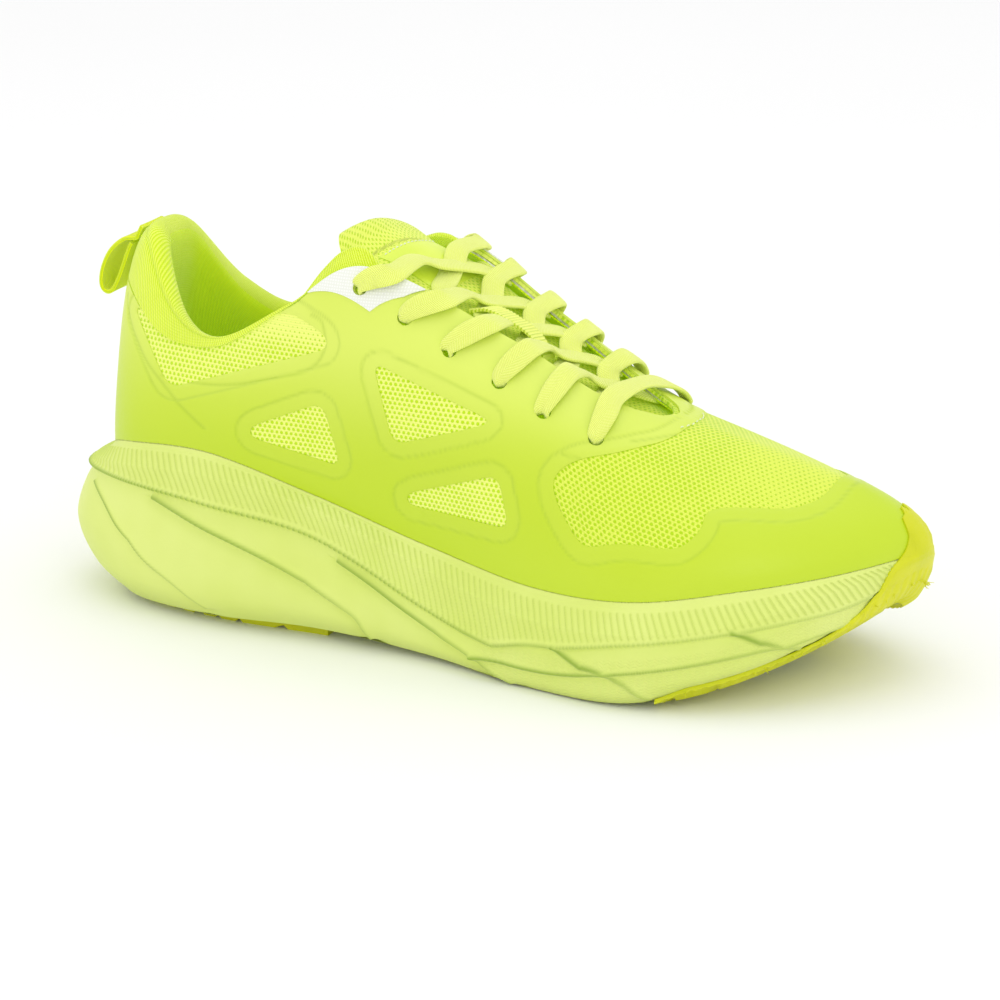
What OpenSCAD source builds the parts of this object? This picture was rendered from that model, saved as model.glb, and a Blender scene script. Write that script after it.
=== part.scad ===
// Low-top cushioned running shoe, right foot, size EU 42, laced and standing on a level floor.
// X runs from heel to toe, Y towards the inner (medial) side, Z up; the floor is z = 0.
// Twenty stations go round the shoe: 0 heel, 5 lateral waist, 10 toe, 15 medial waist.

/* [Overall size] */
// Length from the back of the heel to the toe bumper
shoe_length = 300; // [280:1:320]
// Width across the ball of the foot
ball_width = 109; // [102:1:116]
/* [Sole] */
// Thickness of the rubber outsole
rubber_t = 2.8; // [2:0.1:3]
// Depth of the grooves cut across the outsole pods
tread_d = 1.2; // [0.5:0.1:1.8]
// Height of the foam bed under the heel
heel_stack = 34; // [31:0.5:35]
// Height of the foam bed under the ball of the foot
fore_stack = 24; // [22:0.5:25]
// Thickness of the strobel board that closes the upper
strobel_t = 1.2; // [1:0.1:1.5]
// Thickness of the insole foam
insole_t = 3.6; // [3:0.1:4]
/* [Upper] */
// Thickness of the welded film overlays
film_t = 0.8; // [0.5:0.1:0.8]
// Thickness of the mesh
mesh_t = 1.1; // [0.8:0.1:1.1]
// Thickness of the eyestay stiffener
stay_t = 0.7; // [0.4:0.1:0.7]
// Thickness of the quarter lining
lining_t = 0.5; // [0.3:0.1:0.5]
// Thickness of the moulded heel counter
counter_t = 1.5; // [1:0.1:1.5]
// Diameter of the lace holes
eyelet_d = 5; // [4:0.5:5.5]
/* [Tongue and laces] */
// Thickness of the tongue padding
tongue_t = 5; // [3:0.5:5]
// Width of the flat lace
lace_w = 7.5; // [6:0.5:8]
// Thickness of the flat lace
lace_t = 1.6; // [1.2:0.1:1.7]
/* [Heel pull loop] */
// Width of the loop webbing
loop_w = 15; // [10:1:18]
// Thickness of the loop webbing
loop_t = 1.4; // [1:0.1:1.6]

/* [Hidden] */
$fn = 32;
gap = 0.08;                      // air between two laminated layers
kx = shoe_length / 300;
ky = ball_width / 109;

// Plan outline of the sole at the twenty stations
OUTLINE = [[-150, -1], [-144, -26], [-121, -41], [-85, -46], [-45, -44.5],
    [-5, -45], [35, -52.5], [72, -56], [106, -46], [134, -22.5],
    [150, 8], [143, 30], [118, 46.5], [84, 53], [46, 48.5],
    [8, 41], [-32, 39], [-72, 43], [-113, 41], [-142, 26]];
// Rows round the sole, each [distance in from the outline, height]
BITE = [[12.5, 47], [13.5, 50], [8, 56.8], [7, 58.8], [6.5, 49], [6, 38.3], [6, 33], [7, 34.2],
    [7.5, 39.2], [7, 42.3], [5, 44.5], [7, 42.6], [7.5, 40.2], [7, 35.4], [6, 33.6], [6, 37.5],
    [6.5, 47.5], [7, 57.6], [8, 58], [13, 50.5]];
RIM = [[6.5, 44], [7, 46], [3.5, 50], [3, 52], [2.5, 46], [2, 32], [1.5, 24], [1.5, 25],
    [3, 30], [5, 38], [5.5, 42], [5, 37], [3, 31], [1.5, 26], [1.5, 24], [2, 28],
    [2.5, 42], [3, 51], [3.5, 51], [7, 45.5]];
GROOVE = [[5, 41], [5, 42.5], [2.5, 44.5], [1.8, 44], [1.5, 39.5], [1, 21], [0.5, 11], [0.5, 15.3],
    [3, 22], [5, 31], [7.5, 38], [5, 31], [3, 22.5], [0.5, 16], [0.5, 11.5], [1, 14],
    [1.5, 33], [1.8, 43], [2.5, 44.5], [5, 42.5]];
BULGE = [[0, 26], [0, 26], [0, 26], [0, 25], [0, 22], [0, 14], [0.3, 7.5], [0.5, 9],
    [3, 16], [7, 26], [9, 33], [7, 26], [3, 16.5], [0.5, 10], [0.3, 7.5], [0, 10],
    [0, 19], [0, 25], [0, 26], [0, 26]];
EDGE = [[16, 3.2], [15, 3], [9, 2.8], [6, 3.3], [5, 4.4], [4, 2.3], [3, 0.6], [4, 1.8],
    [9, 8.5], [13, 18], [16, 24], [13, 18], [9, 9.5], [4.5, 2.8], [3, 0.6], [3.5, 1.5],
    [5, 4.2], [6, 3.8], [9, 2.8], [15, 3]];
// Top line: round the collar, then up one side of the throat and down the other
TOPLINE = [[-123, 0, 124.5], [-120, -12.5, 121.5], [-105, -25, 102], [-85, -31.5, 96], [-58, -33, 110.5],
    [-32, -26.5, 125], [14, -18, 105], [44, -13, 88.5], [58, -6, 82.5], [61.5, -2, 81.5],
    [62.5, 1, 81.3], [61.5, 4, 81.5], [58, 8, 82.5], [44, 14, 87.5], [14, 19.5, 103.5],
    [-26, 26, 122], [-59, 34, 107], [-87, 32, 91], [-106, 25, 99.5], [-119.5, 13, 120.5]];
// How the upper leaves the bite line, and how it arrives at the top line
LEAVE = [[2, 0, 25], [1, -1, 24], [0, -2, 15], [0, -2, 13], [0, -2, 18], [0, -2, 20], [0, -2, 18],
    [0, -2, 16], [1, -2, 15], [1, -1, 15], [1, 0, 17], [1, 1, 15], [1, 2, 15], [0, 2, 16],
    [0, 2, 18], [0, 2, 20], [0, 2, 18], [0, 2, 13], [0, 2, 15], [1, 1, 24]];
ARRIVE = [[-11, 0, -5], [-9, -5, -5], [-3, -6, -10], [0, -5, -10], [2, -4, -14], [4, -13, -16],
    [6, -16, -12], [8, -16, -9], [20, -10, -7], [34, -5, -8], [38, 0, -8], [34, 5, -8],
    [20, 12, -7], [8, 16, -9], [6, 16, -12], [4, 13, -16], [2, 4, -14], [0, 5, -10],
    [-3, 6, -11], [-9, 5, -5]];
// Where the knitted collar cover starts on the outside, as a share of the height of the upper
COLLAR_SEAM = [0.66, 0.67, 0.77, 0.91, 0.985, 1, 1, 1, 1, 1, 1, 1, 1, 1, 1, 1, 0.985, 0.91, 0.77, 0.67];
// Lace holes as [station, share of the height], from the ankle down to the toe
HOLES_LATERAL = [[4.93, 0.89], [5.27, 0.82], [5.56, 0.78], [5.91, 0.76], [6.3, 0.73], [6.87, 0.73]];
HOLES_MEDIAL = [[15.1, 0.88], [14.77, 0.8], [14.4, 0.76], [14, 0.76], [13.55, 0.73], [12.95, 0.73]];
ROWS = len(HOLES_LATERAL);
// Window outlines in the lateral film, seen from the side as [x, z]
WINDOWS_LATERAL = [
    [[-68, 68], [-56, 75], [-46, 79], [-42, 78], [-38, 65], [-41, 61], [-57, 64]],
    [[-25, 91], [-23, 94], [-20, 94], [15, 82], [14, 80], [2, 76], [-14, 72], [-18, 73], [-21, 78]],
    [[-11, 53], [-9, 57], [8, 63], [18, 65], [22, 63], [25, 54], [24, 51], [20, 50], [-9, 51]],
    [[-121, 98], [-110, 95], [-96, 92], [-81, 97], [-64, 107], [-55, 110], [-45, 104], [-44, 100],
        [-47, 97], [-57, 93], [-74, 87], [-98, 79]]];
// The same windows on the medial film, where the collar window is lower
WINDOWS_MEDIAL = [WINDOWS_LATERAL[0], WINDOWS_LATERAL[1], WINDOWS_LATERAL[2],
    [[-118, 94], [-108, 90], [-96, 86.5], [-81, 90], [-66, 99], [-55, 105], [-46, 102], [-44, 98],
        [-47, 94], [-57, 89], [-74, 82], [-98, 74]]];
// Forefoot area left open in the film, seen from above as [x, y]
VAMP_WINDOW = [[39, -39], [41, -42], [50, -46], [56, -47], [84, -42], [89, -36], [88, -30], [111, -17],
    [118, -7], [119, 12], [112, 24], [98, 36], [84, 42], [56, 43], [48, 40], [40, 34],
    [62, 24], [70, 12], [71, 0], [68, -15], [56, -28]];
// Routes of the two lace ends tucked down inside the quarters, from lace hole to tip
TAIL_LATERAL = [[-33, -26, 114], [-36, -27, 109], [-37.5, -28, 103], [-37, -29, 96], [-35.5, -29.5, 88],
    [-34, -30, 81], [-32.5, -30.5, 75], [-31.5, -30.5, 70]];
TAIL_MEDIAL = [[-31, 23.5, 113], [-36, 24, 109], [-38.5, 24.5, 103], [-38.5, 25, 96], [-37, 25.5, 88],
    [-35.5, 26, 81], [-34, 26, 75], [-33, 26, 70]];
// Side profile of the heel pull loop, from the upper seam round the bight to the lower seam
LOOP_PATH = [[-129.8, 118.1], [-134.5, 117.2], [-139.5, 113], [-142.6, 107.5], [-143.8, 102.5], [-143.3, 99.4],
    [-141.4, 98.2], [-139.3, 99.3], [-137.4, 102.5], [-135.6, 106.5], [-134, 110.5], [-132.6, 114], [-131.5, 116.2]];
LOOP_SEAM = [[-128.9, 119.5], [-127.4, 122.3]];
narrow_w = 4.4;                  // width of the lace where a hole squeezes it
hinge_gap = 1.2;                 // slack across the bend of the tongue
LIME = [0.78, 0.92, 0.2];
PALE = [0.84, 0.93, 0.52];
DARK = [0.62, 0.8, 0.1];
RUBBER = [0.86, 0.93, 0.1];
GREY = [0.85, 0.87, 0.84];

// ---- curves and surfaces ----
// Smooth closed curve through a table, at station t
function at(tab, t) = let(n = len(tab), w = ((t % n) + n) % n, i = floor(w), u = w - i,
    a = tab[(i + n - 1) % n], b = tab[i], c = tab[(i + 1) % n], d = tab[(i + 2) % n])
    0.5 * (2 * b + (c - a) * u + (2 * a - 5 * b + 4 * c - d) * u * u + (3 * b - a - 3 * c + d) * u * u * u);
// Smooth open curve through a list, u from 0 to the last index
function along(list, u) = let(n = len(list), i = min(max(floor(u), 0), n - 2), v = u - i,
    a = list[max(i - 1, 0)], b = list[i], c = list[i + 1], d = list[min(i + 2, n - 1)])
    0.5 * (2 * b + (c - a) * v + (2 * a - 5 * b + 4 * c - d) * v * v + (3 * b - a - 3 * c + d) * v * v * v);
function steps(a, b, n) = [for (i = [0:n]) a + (b - a) * i / n];
// From a to b, with every whole multiple of a step in between: layers that share the step lie parallel
function stops(a, b, step) = concat([a], [for (i = [floor(a / step + 1.2):ceil(b / step - 1.2)]) i * step], [b]);
t_step = 0.29;                   // stations between two columns of a laminated layer
s_step = 0.2;                    // share of the height between two rows of a laminated layer
function mix(a, b, k) = a * (1 - k) + b * k;
function clamp(v) = min(max(v, 0), 1);
function smooth(v) = let(c = clamp(v)) c * c * (3 - 2 * c);
function unit(v) = v / norm(v);
function plan(t) = let(p = at(OUTLINE, t)) [p.x * kx, p.y * ky];
function inward(t) = let(d = plan(t + 0.02) - plan(t - 0.02)) unit([-d.y, d.x]);
function inset(t, d, z) = let(p = plan(t) + d * inward(t)) [p.x, p.y, z];
function row(tab, t) = let(v = at(tab, t)) inset(t, v[0], v[1]);
// Toe spring: height of the ground face of the sole above the floor
function spring(x) = x > 72 * kx ? 21 * pow((x / kx - 72) / 60, 1.6) : 0;
// Height of the foam bed under the strobel board
function bed(x) = x < 70 * kx
    ? mix(heel_stack, fore_stack, smooth((x / kx + 60) / 130))
    : fore_stack + 10 * pow((x / kx - 70) / 65, 2);
function bed_point(t, d, h) = let(p = inset(t, d, 0)) [p.x, p.y, bed(p.x) + h];
bed_inset = 5;                   // the bed's edge lies this far inside the bite line
// Outer face of the upper: share s runs from -1 at the bed, through 0 at the bite line, to 1 at the top line
function upper(t, s) = let(b = row(BITE, t)) s < 0
    ? mix(b, bed_point(t, at(BITE, t)[0] + bed_inset, strobel_t), -s)
    : let(e = at(TOPLINE, t), top = [e.x * kx, e.y * ky, e.z], k = 1 - s)
        k * k * k * b + 3 * k * k * s * (b + at(LEAVE, t)) + 3 * k * s * s * (top + at(ARRIVE, t)) + s * s * s * top;
function outward(t, s) = let(c = min(s, 0.985),
    n = cross(upper(t + 0.02, c) - upper(t - 0.02, c), upper(t, c + 0.01) - upper(t, c - 0.01))) unit(n);
// A point at depth d under the outer face
function skin(t, s, d) = upper(t, s) - d * outward(t, s);

// Depths of the laminated layers, measured from the outer face
film_d = [0.05, film_t];
mesh_d = [film_d[1] + gap, film_d[1] + gap + mesh_t];
stay_d = [mesh_d[1] + gap, mesh_d[1] + gap + stay_t];
lining_d = [stay_d[1] + gap, stay_d[1] + gap + lining_t];
lace_d = lining_d[1] + 0.2 + lace_t / 2;
tongue_d = lining_d[1] + lace_t + 0.5;
counter_d = [mesh_d[1] + gap, mesh_d[1] + gap + counter_t];
inner_d = counter_d[1] + gap + 1;  // face of the heel lining

// ---- solids from grids of points ----
function quad(a, b, c, d) = [[a, b, c], [a, c, d]];
// Closed sheet between two grids with the same rows and columns
module sheet(outer, inner, closed = false) {
    n = len(outer);
    m = len(outer[0]);
    last = closed ? n - 1 : n - 2;
    function o(i, j) = (i % n) * m + j;
    function q(i, j) = n * m + (i % n) * m + j;
    sides = [for (i = [0:last]) each concat(
        [for (j = [0:m - 2]) each quad(o(i, j), o(i, j + 1), o(i + 1, j + 1), o(i + 1, j))],
        [for (j = [0:m - 2]) each quad(q(i, j), q(i + 1, j), q(i + 1, j + 1), q(i, j + 1))],
        quad(o(i, 0), o(i + 1, 0), q(i + 1, 0), q(i, 0)),
        quad(o(i + 1, m - 1), o(i, m - 1), q(i, m - 1), q(i + 1, m - 1)))];
    ends = closed ? [] : [for (j = [0:m - 2]) each concat(
        quad(o(0, j + 1), o(0, j), q(0, j), q(0, j + 1)),
        quad(o(n - 1, j), o(n - 1, j + 1), q(n - 1, j + 1), q(n - 1, j)))];
    polyhedron([for (r = outer) each r, for (r = inner) each r], concat(sides, ends), convexity = 6);
}
// Closed solid through rings that go round the shoe, with flat rungs across the first and the last
module rings(list) {
    n = len(list[0]);
    k = len(list);
    function v(r, i) = r * n + i % n;
    walls = [for (r = [0:k - 2], i = [0:n - 1]) each quad(v(r, i), v(r + 1, i), v(r + 1, i + 1), v(r, i + 1))];
    function rung(r, i, f) = let(a = v(r, i), b = v(r, i + 1), c = v(r, n - i - 1), d = v(r, n - i),
        quads = i == 0 ? [[a, b, c]] : i == n / 2 - 1 ? [[a, b, d]] : quad(a, b, c, d))
        f ? quads : [for (t = quads) [t[2], t[1], t[0]]];
    caps = [for (i = [0:n / 2 - 1]) each concat(rung(0, i, true), rung(k - 1, i, false))];
    polyhedron([for (r = list) each r], concat(walls, caps), convexity = 6);
}
// Flat band swept along points, with its face square to the normals and a width at each point
module band(points, normals, widths, h) {
    n = len(points);
    profile = [[-0.5, -0.2], [-0.4, -0.5], [0.4, -0.5], [0.5, -0.2], [0.5, 0.2], [0.4, 0.5], [-0.4, 0.5],
        [-0.5, 0.2]];
    m = len(profile);
    function ring(i) = let(t = unit(points[min(i + 1, n - 1)] - points[max(i - 1, 0)]),
        side = unit(cross(t, normals[i])), up = cross(side, t))
        [for (p = profile) points[i] + side * p[0] * widths[i] + up * p[1] * h];
    walls = [for (i = [0:n - 2], j = [0:m - 1]) each quad(
        i * m + j, (i + 1) * m + j, (i + 1) * m + (j + 1) % m, i * m + (j + 1) % m)];
    first = [for (j = [1:m - 2]) [0, j, j + 1]];
    final = [for (j = [1:m - 2]) [(n - 1) * m, (n - 1) * m + j + 1, (n - 1) * m + j]];
    polyhedron([for (i = [0:n - 1]) each ring(i)], concat(walls, first, final), convexity = 6);
}
// Piece of laminate between stations t0 and t1 and shares s0 and s1, at depths d
module laminate(t0, t1, s0, s1, d) {
    function grid(e) = [for (t = stops(t0, t1, t_step)) [for (s = stops(s0, s1, s_step)) skin(t, s, e)]];
    sheet(grid(d[0]), grid(d[1]));
}
// The same with an upper edge that follows the collar seam
module laminate_to_seam(t0, t1, s0, ns, d, drop) {
    function grid(e) = [for (t = stops(t0, t1, t_step))
        [for (s = steps(s0, min(at(COLLAR_SEAM, t), 1) - drop, ns)) skin(t, s, e)]];
    sheet(grid(d[0]), grid(d[1]));
}
// Bores of the lace holes on one side
module lace_holes(holes) {
    for (h = holes) {
        c = upper(h[0], h[1]);
        n = outward(h[0], h[1]);
        translate(c)
            rotate([0, acos(n.z), atan2(n.y, n.x)])
                cylinder(d = eyelet_d, h = 14, center = true, $fn = 10);
    }
}

// ---- sole ----
around = steps(0, 20, 80);
loop_t_list = [for (i = [0:79]) around[i]];
// Foam at the edge stands off the rubber only where the toe rubber wraps it
function toe_share(t) = smooth((2.9 - abs(t - 10)) / 0.5);
function ground(t, d, h) = let(p = inset(t, d, 0)) [p.x, p.y, spring(p.x) + h];
function edge(t) = let(p = row(EDGE, t)) [p.x, p.y, p.z + (rubber_t + gap) * toe_share(t)];
module midsole() {
    lip = 0.1;                   // clearance round the lasted margin of the upper
    color(PALE) rings([
        [for (t = loop_t_list) ground(t, at(EDGE, t)[0] + 12, rubber_t + gap)],
        [for (t = loop_t_list) ground(t, at(EDGE, t)[0] + 5, rubber_t + gap)],
        [for (t = loop_t_list) edge(t)],
        [for (t = loop_t_list) mix(edge(t), row(BULGE, t), 0.45)
            + 0.12 * norm(row(BULGE, t) - edge(t)) * [-inward(t).x, -inward(t).y, -0.5]],
        [for (t = loop_t_list) row(BULGE, t)],
        [for (t = loop_t_list) row(GROOVE, t)],
        [for (t = loop_t_list) row(RIM, t)],
        [for (t = loop_t_list) inset(t, at(BITE, t)[0] - lip, at(BITE, t)[1])],
        [for (t = loop_t_list) bed_point(t, at(BITE, t)[0] + bed_inset - lip, -0.05)]]);
}
// Height up the toe that the rubber reaches: 0 at the ground edge, 4 at the bite line
function toe_reach(t) = 0.5 + 3.9 * smooth((1.25 - abs(t - 10.1)) / 0.7);
function toe_side(t, w, d) = w >= 4 ? skin(t, (w - 4) * 0.6, -d)
    : let(i = floor(w), list = [edge(t), row(BULGE, t), row(GROOVE, t), row(RIM, t), row(BITE, t)],
        q = mix(list[i], list[i + 1], w - i), a = 90 * clamp(w + 0.3), r = inward(t))
        q + [-r.x * sin(a), -r.y * sin(a), -cos(a)] * d;
module outsole_toe() {
    under = 24;                  // how far the rubber runs in from the edge
    function grid(d) = [for (t = steps(7.25, 12.75, 30)) concat(
        [for (k = [2:-1:1]) ground(t, at(EDGE, t)[0] + under * k / 2, rubber_t - d)],
        [for (w = steps(0, toe_reach(t), 6)) toe_side(t, w, d + gap / 2)])];
    color(RUBBER) sheet(grid(rubber_t), grid(0));
}
// Flat rubber pod: outer edge follows the sole between two stations, inner edge is straight
module pod(t0, t1, d, inner_y, grooves) {
    rim_points = [for (t = steps(t0, t1, 12)) let(p = inset(t, at(EDGE, t)[0] + d, 0)) [p.x, p.y]];
    color(RUBBER) difference() {
        linear_extrude(rubber_t)
            polygon(concat(rim_points, [[rim_points[12].x, inner_y], [rim_points[0].x, inner_y]]));
        for (x = grooves)
            translate([x, 0, 0])
                cube([2, 200, 2 * tread_d], center = true);
    }
}
module outsole_forefoot_lateral() { pod(5.3, 6.78, 6, -9, [2, 18, 34, 50]); }
module outsole_forefoot_medial() { pod(13.22, 14.8, 6, 9, [24, 40, 54]); }
module outsole_heel_lateral() { pod(0.55, 4, 6, -7, [-110, -94, -78, -62]); }
module outsole_heel_medial() { pod(16, 19.45, 6, 7, [-110, -94, -78, -62]); }

// ---- boards under the foot ----
module plate(extra, z0, z1, cup) {
    rings([
        [for (t = loop_t_list) bed_point(t, at(BITE, t)[0] + bed_inset + extra, z0)],
        [for (t = loop_t_list) bed_point(t, at(BITE, t)[0] + bed_inset + extra, z1 + cup)],
        [for (t = loop_t_list) bed_point(t, at(BITE, t)[0] + bed_inset + extra + 3, z1)]]);
}
module strobel_board() { color("white") plate(4.6, 0, strobel_t, 0); }
module insole_foam() { color(PALE) plate(5, strobel_t + 0.1, strobel_t + 0.1 + insole_t, 1.5); }
module insole_cover() {
    z = strobel_t + 0.15 + insole_t;
    function ring(e, h) = [for (t = loop_t_list) bed_point(t, at(BITE, t)[0] + bed_inset + e, h)];
    color(DARK) rings([ring(8, z), ring(5.1, z + 1.5), ring(5.1, z + 2.2), ring(8, z + 0.7)]);
}

// ---- upper, from the inside out ----
module heel_counter() { color("white") laminate(-3.2, 3.2, -0.85, 0.5, counter_d); }
module toe_puff() { color("white") laminate(8.4, 11.6, -0.85, 0.34, stay_d); }
module mesh_vamp() {
    color(PALE) laminate(7.02, 12.98, -0.9, 1, mesh_d);
}
module mesh_quarter(t0, t1, holes) {
    color(PALE) resize([0, 0, 0]) difference() {
        laminate(t0, t1, -0.9, 0.985, mesh_d);
        lace_holes(holes);
    }
}
module mesh_quarter_lateral() { mesh_quarter(0.02, 6.98, HOLES_LATERAL); }
module mesh_quarter_medial() { mesh_quarter(13.02, 19.98, HOLES_MEDIAL); }
module rounded_window(points) {
    offset(r = 3, $fn = 16)
        offset(delta = -3)
            polygon([for (p = points) [p.x * kx, p.y]]);
}
module side_windows(windows, side) {
    for (w = windows)
        translate([0, side * 50, 0])
            rotate([90, 0, 0])
                linear_extrude(50, center = true)
                    rounded_window(w);
}
module vamp_window() {
    translate([0, 0, 49.5])
        linear_extrude(50)
            offset(r = 3, $fn = 16)
                offset(delta = -3)
                    polygon([for (p = VAMP_WINDOW) [p.x * kx, p.y * ky]]);
}
module film_heel() { color(LIME) laminate_to_seam(-1.28, 1.28, -0.3, 6, film_d, 0.01); }
module film_side(t0, t1, holes, windows, side) {
    color(LIME) resize([0, 0, 0]) difference() {
        laminate_to_seam(t0, t1, -0.3, 8, film_d, 0.01);
        lace_holes(holes);
        side_windows(windows, side);
        vamp_window();
    }
}
module film_lateral() { film_side(1.3, 7.5, HOLES_LATERAL, WINDOWS_LATERAL, -1); }
module film_medial() { film_side(12.5, 18.7, HOLES_MEDIAL, WINDOWS_MEDIAL, 1); }
module film_toe() {
    color(LIME) resize([0, 0, 0]) difference() {
        laminate(7.52, 12.48, -0.3, 0.55, film_d);
        vamp_window();
    }
}
module film_throat() {
    color(LIME) resize([0, 0, 0]) difference() {
        laminate(7.52, 12.48, 0.72, 0.99, film_d);
        vamp_window();
    }
}
module eyestay_stiffener(t0, t1, holes) {
    color("white") resize([0, 0, 0]) difference() {
        laminate(t0, t1, 0.62, 0.985, stay_d);
        lace_holes(holes);
    }
}
module eyestay_stiffener_lateral() { eyestay_stiffener(4.55, 7.6, HOLES_LATERAL); }
module eyestay_stiffener_medial() { eyestay_stiffener(12.4, 15.45, HOLES_MEDIAL); }
module eyelet_panel(t0, t1, holes) {
    color(GREY) resize([0, 0, 0]) difference() {
        laminate(t0, t1, 0.78, 0.99, [-0.55, 0]);
        lace_holes([holes[0]]);
    }
}
module eyelet_panel_lateral() { eyelet_panel(4.2, 5.15, HOLES_LATERAL); }
module eyelet_panel_medial() { eyelet_panel(14.98, 15.8, HOLES_MEDIAL); }
module lining_quarter(t0, t1, holes) {
    color(DARK) resize([0, 0, 0]) difference() {
        laminate(t0, t1, 0.02, 0.985, lining_d);
        lace_holes(holes);
    }
}
module lining_quarter_lateral() { lining_quarter(4.45, 8.3, HOLES_LATERAL); }
module lining_quarter_medial() { lining_quarter(11.7, 15.55, HOLES_MEDIAL); }

// ---- padded collar ----
// Half thickness of the roll: full at the heel, thin where the collar meets the throat
function roll(t) = 2 + 4.2 * smooth((4.5 - abs(t)) / 2.6);
function level(t) = let(d = upper(t + 0.05, 1) - upper(t - 0.05, 1)) unit([-d.y, d.x, 0]);
// Path over the collar: w from 0 at the outer seam, 1 on the ridge, 2 inside the roll, 3 at the lining's foot
function collar(t, w, e) = let(top = upper(t, 1), r = roll(t), h = level(t),
    q = top + h * r - [0, 0, r * 1.2], foot = skin(t, 0.06, inner_d))
    w <= 1 ? skin(t, mix(at(COLLAR_SEAM, t), 1, w), e + film_d[0])
    : w <= 2 ? top + h * (r - e) * sin(90 * (w - 1)) - [0, 0, r * 1.2 - (r * 1.2 - e) * cos(90 * (w - 1))]
    : let(u = w - 2, k = 1 - u) k * k * k * q + 3 * k * k * u * (q - [0, 0, 14])
        + 3 * k * u * u * (foot + [0, 0, 14]) + u * u * u * foot - h * e;
module collar_cover() {
    w_list = concat(steps(0, 1, 3), [1.33, 1.67, 2], steps(2.2, 3, 4));
    function grid(e) = [for (t = steps(-4.4, 4.4, 30)) [for (w = w_list) collar(t, w, e)]];
    color(DARK) sheet(grid(0), grid(film_t));
}
module collar_foam() {
    function outer(t) = [for (s = steps(0.54, 0.94, 5)) skin(t, s, counter_d[0] + 0.4)];
    function inner(t) = [for (w = [2.55, 2.4, 2.2, 2, 1.6, 1.3]) collar(t, w, film_t + 0.15)];
    list = steps(-4.3, 4.3, 26);
    color("khaki") sheet([for (t = list) outer(t)], [for (t = list) inner(t)]);
}

// ---- tongue ----
// Cross-section through five points: along the inside of both quarters and over the crown
function tongue_at(u, v, d) = let(crown = 6.6 * smooth((5.6 - u) / 0.75) - 0.6 - smooth((u - 6.5) / 2),
    a = skin(u, 0.8, tongue_d + d), b = skin(u, 1, tongue_d + d),
    e = skin(20 - u, 0.8, tongue_d + d), f = skin(20 - u, 1, tongue_d + d),
    c = (skin(u, 1, tongue_d) + skin(20 - u, 1, tongue_d)) / 2 + [0, 0, crown - d])
    along([a, b, c, f, e], v + 2);
tongue_u = 4.9;                  // the bend lies here
tongue_v = steps(-2, 2, 10);
// End rows are rounded: the two faces close towards the middle of the padding
function tongue_row(u, v_list, shift, full) = [for (v = v_list)
    let(k = (1 - full) * tongue_t / 2) tongue_at(u, v, k) + shift];
function tongue_under(u, v_list, shift, full) = [for (v = v_list)
    let(k = (1 + full) * tongue_t / 2) tongue_at(u, v, k) + shift];
module tongue() {
    slack = [hinge_gap / 2, 0, -hinge_gap / 4];
    tuck = [14, 0, -5];
    us = concat([tongue_u + 0.04], steps(5.05, 8.1, 11));
    color(PALE) sheet(
        concat([tongue_row(tongue_u, tongue_v, slack, 0.35)], [for (u = us) tongue_row(u, tongue_v, [0, 0, 0], 1)],
            [tongue_row(8.1, tongue_v, tuck, 0.6)]),
        concat([tongue_under(tongue_u, tongue_v, slack, 0.35)],
            [for (u = us) tongue_under(u, tongue_v, [0, 0, 0], 1)], [tongue_under(8.1, tongue_v, tuck, 0.6)]));
}
// Rows of the free end: each moves back and up from the bend and gets narrower
function lip_row(k, full, side) = let(half = 1.12 - 0.42 * pow(k, 3), d = (1 + side * full) * tongue_t / 2)
    [for (v = steps(-half, half, 8)) let(p = tongue_at(tongue_u, v, d))
        p + [-hinge_gap / 2 - 12.5 * k, 0, hinge_gap / 4 + 8 * k - 5 * k * pow(v / 1.12, 2)]];
module tongue_top() {
    ks = [0, 0.12, 0.4, 0.7, 0.93, 1];
    fulls = [0.35, 1, 1, 1, 0.8, 0.35];
    color(PALE) sheet([for (i = [0:5]) lip_row(ks[i], fulls[i], -1)], [for (i = [0:5]) lip_row(ks[i], fulls[i], 1)]);
}
module tongue_label() {
    function grid(d) = [for (u = steps(4.96, 5.3, 4)) [for (v = steps(-0.6, 0.6, 4)) tongue_at(u, v, d)]];
    color(LIME) sheet(grid(-0.7), grid(-0.1));
}
// Webbing loop over the third crossing that keeps the tongue centred
module lace_keeper() {
    base = 0.15;
    arch = 5.4;                  // room for two layers of lace under the loop
    lift = [0, 0.8, 1, 1, 1, 0.8, 0];
    us = steps(5.68, 6.32, 6);
    function grid(h) = [for (i = [0:6]) [for (v = steps(-0.69, -0.21, 2)) tongue_at(us[i], v, 0)
        + [0, 0, base + arch * lift[i] + h]]];
    color(PALE) sheet(grid(1), grid(0));
}

// ---- lace ----
low = 1.9;                       // lace resting on the tongue
high = low + lace_t + 0.5;       // lace crossing over the other strand
lean = 0.28;                     // stations that the lace runs forward between a hole and the edge
function ahead(t) = t < 10 ? t + lean : t - lean;
// From the edge of the throat back and down to a hole
function down(h) = unit(upper(h[0], h[1]) - upper(ahead(h[0]), 0.985));
// Over the edge of the throat, down into a hole and up again behind it, with the faces it turns
function dive(h) = [skin(ahead(h[0]), 0.985, -2.2), skin(mix(h[0], ahead(h[0]), 0.45), mix(h[1], 0.985, 0.45), -2.2),
    skin(h[0], h[1] + 0.01, -0.9), skin(h[0], h[1], 1.6), skin(h[0], h[1] + 0.01, lace_d - 0.4),
    skin(h[0], h[1] + 0.03, lace_d)];
function dive_up(h) = let(n = outward(h[0], h[1]), d = down(h))
    [outward(ahead(h[0]), 0.98), n, unit(n + d), d, unit(d - n), -n];
dive_w = [lace_w, lace_w, 0.75 * lace_w, narrow_w, narrow_w, 0.75 * lace_w];
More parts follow.
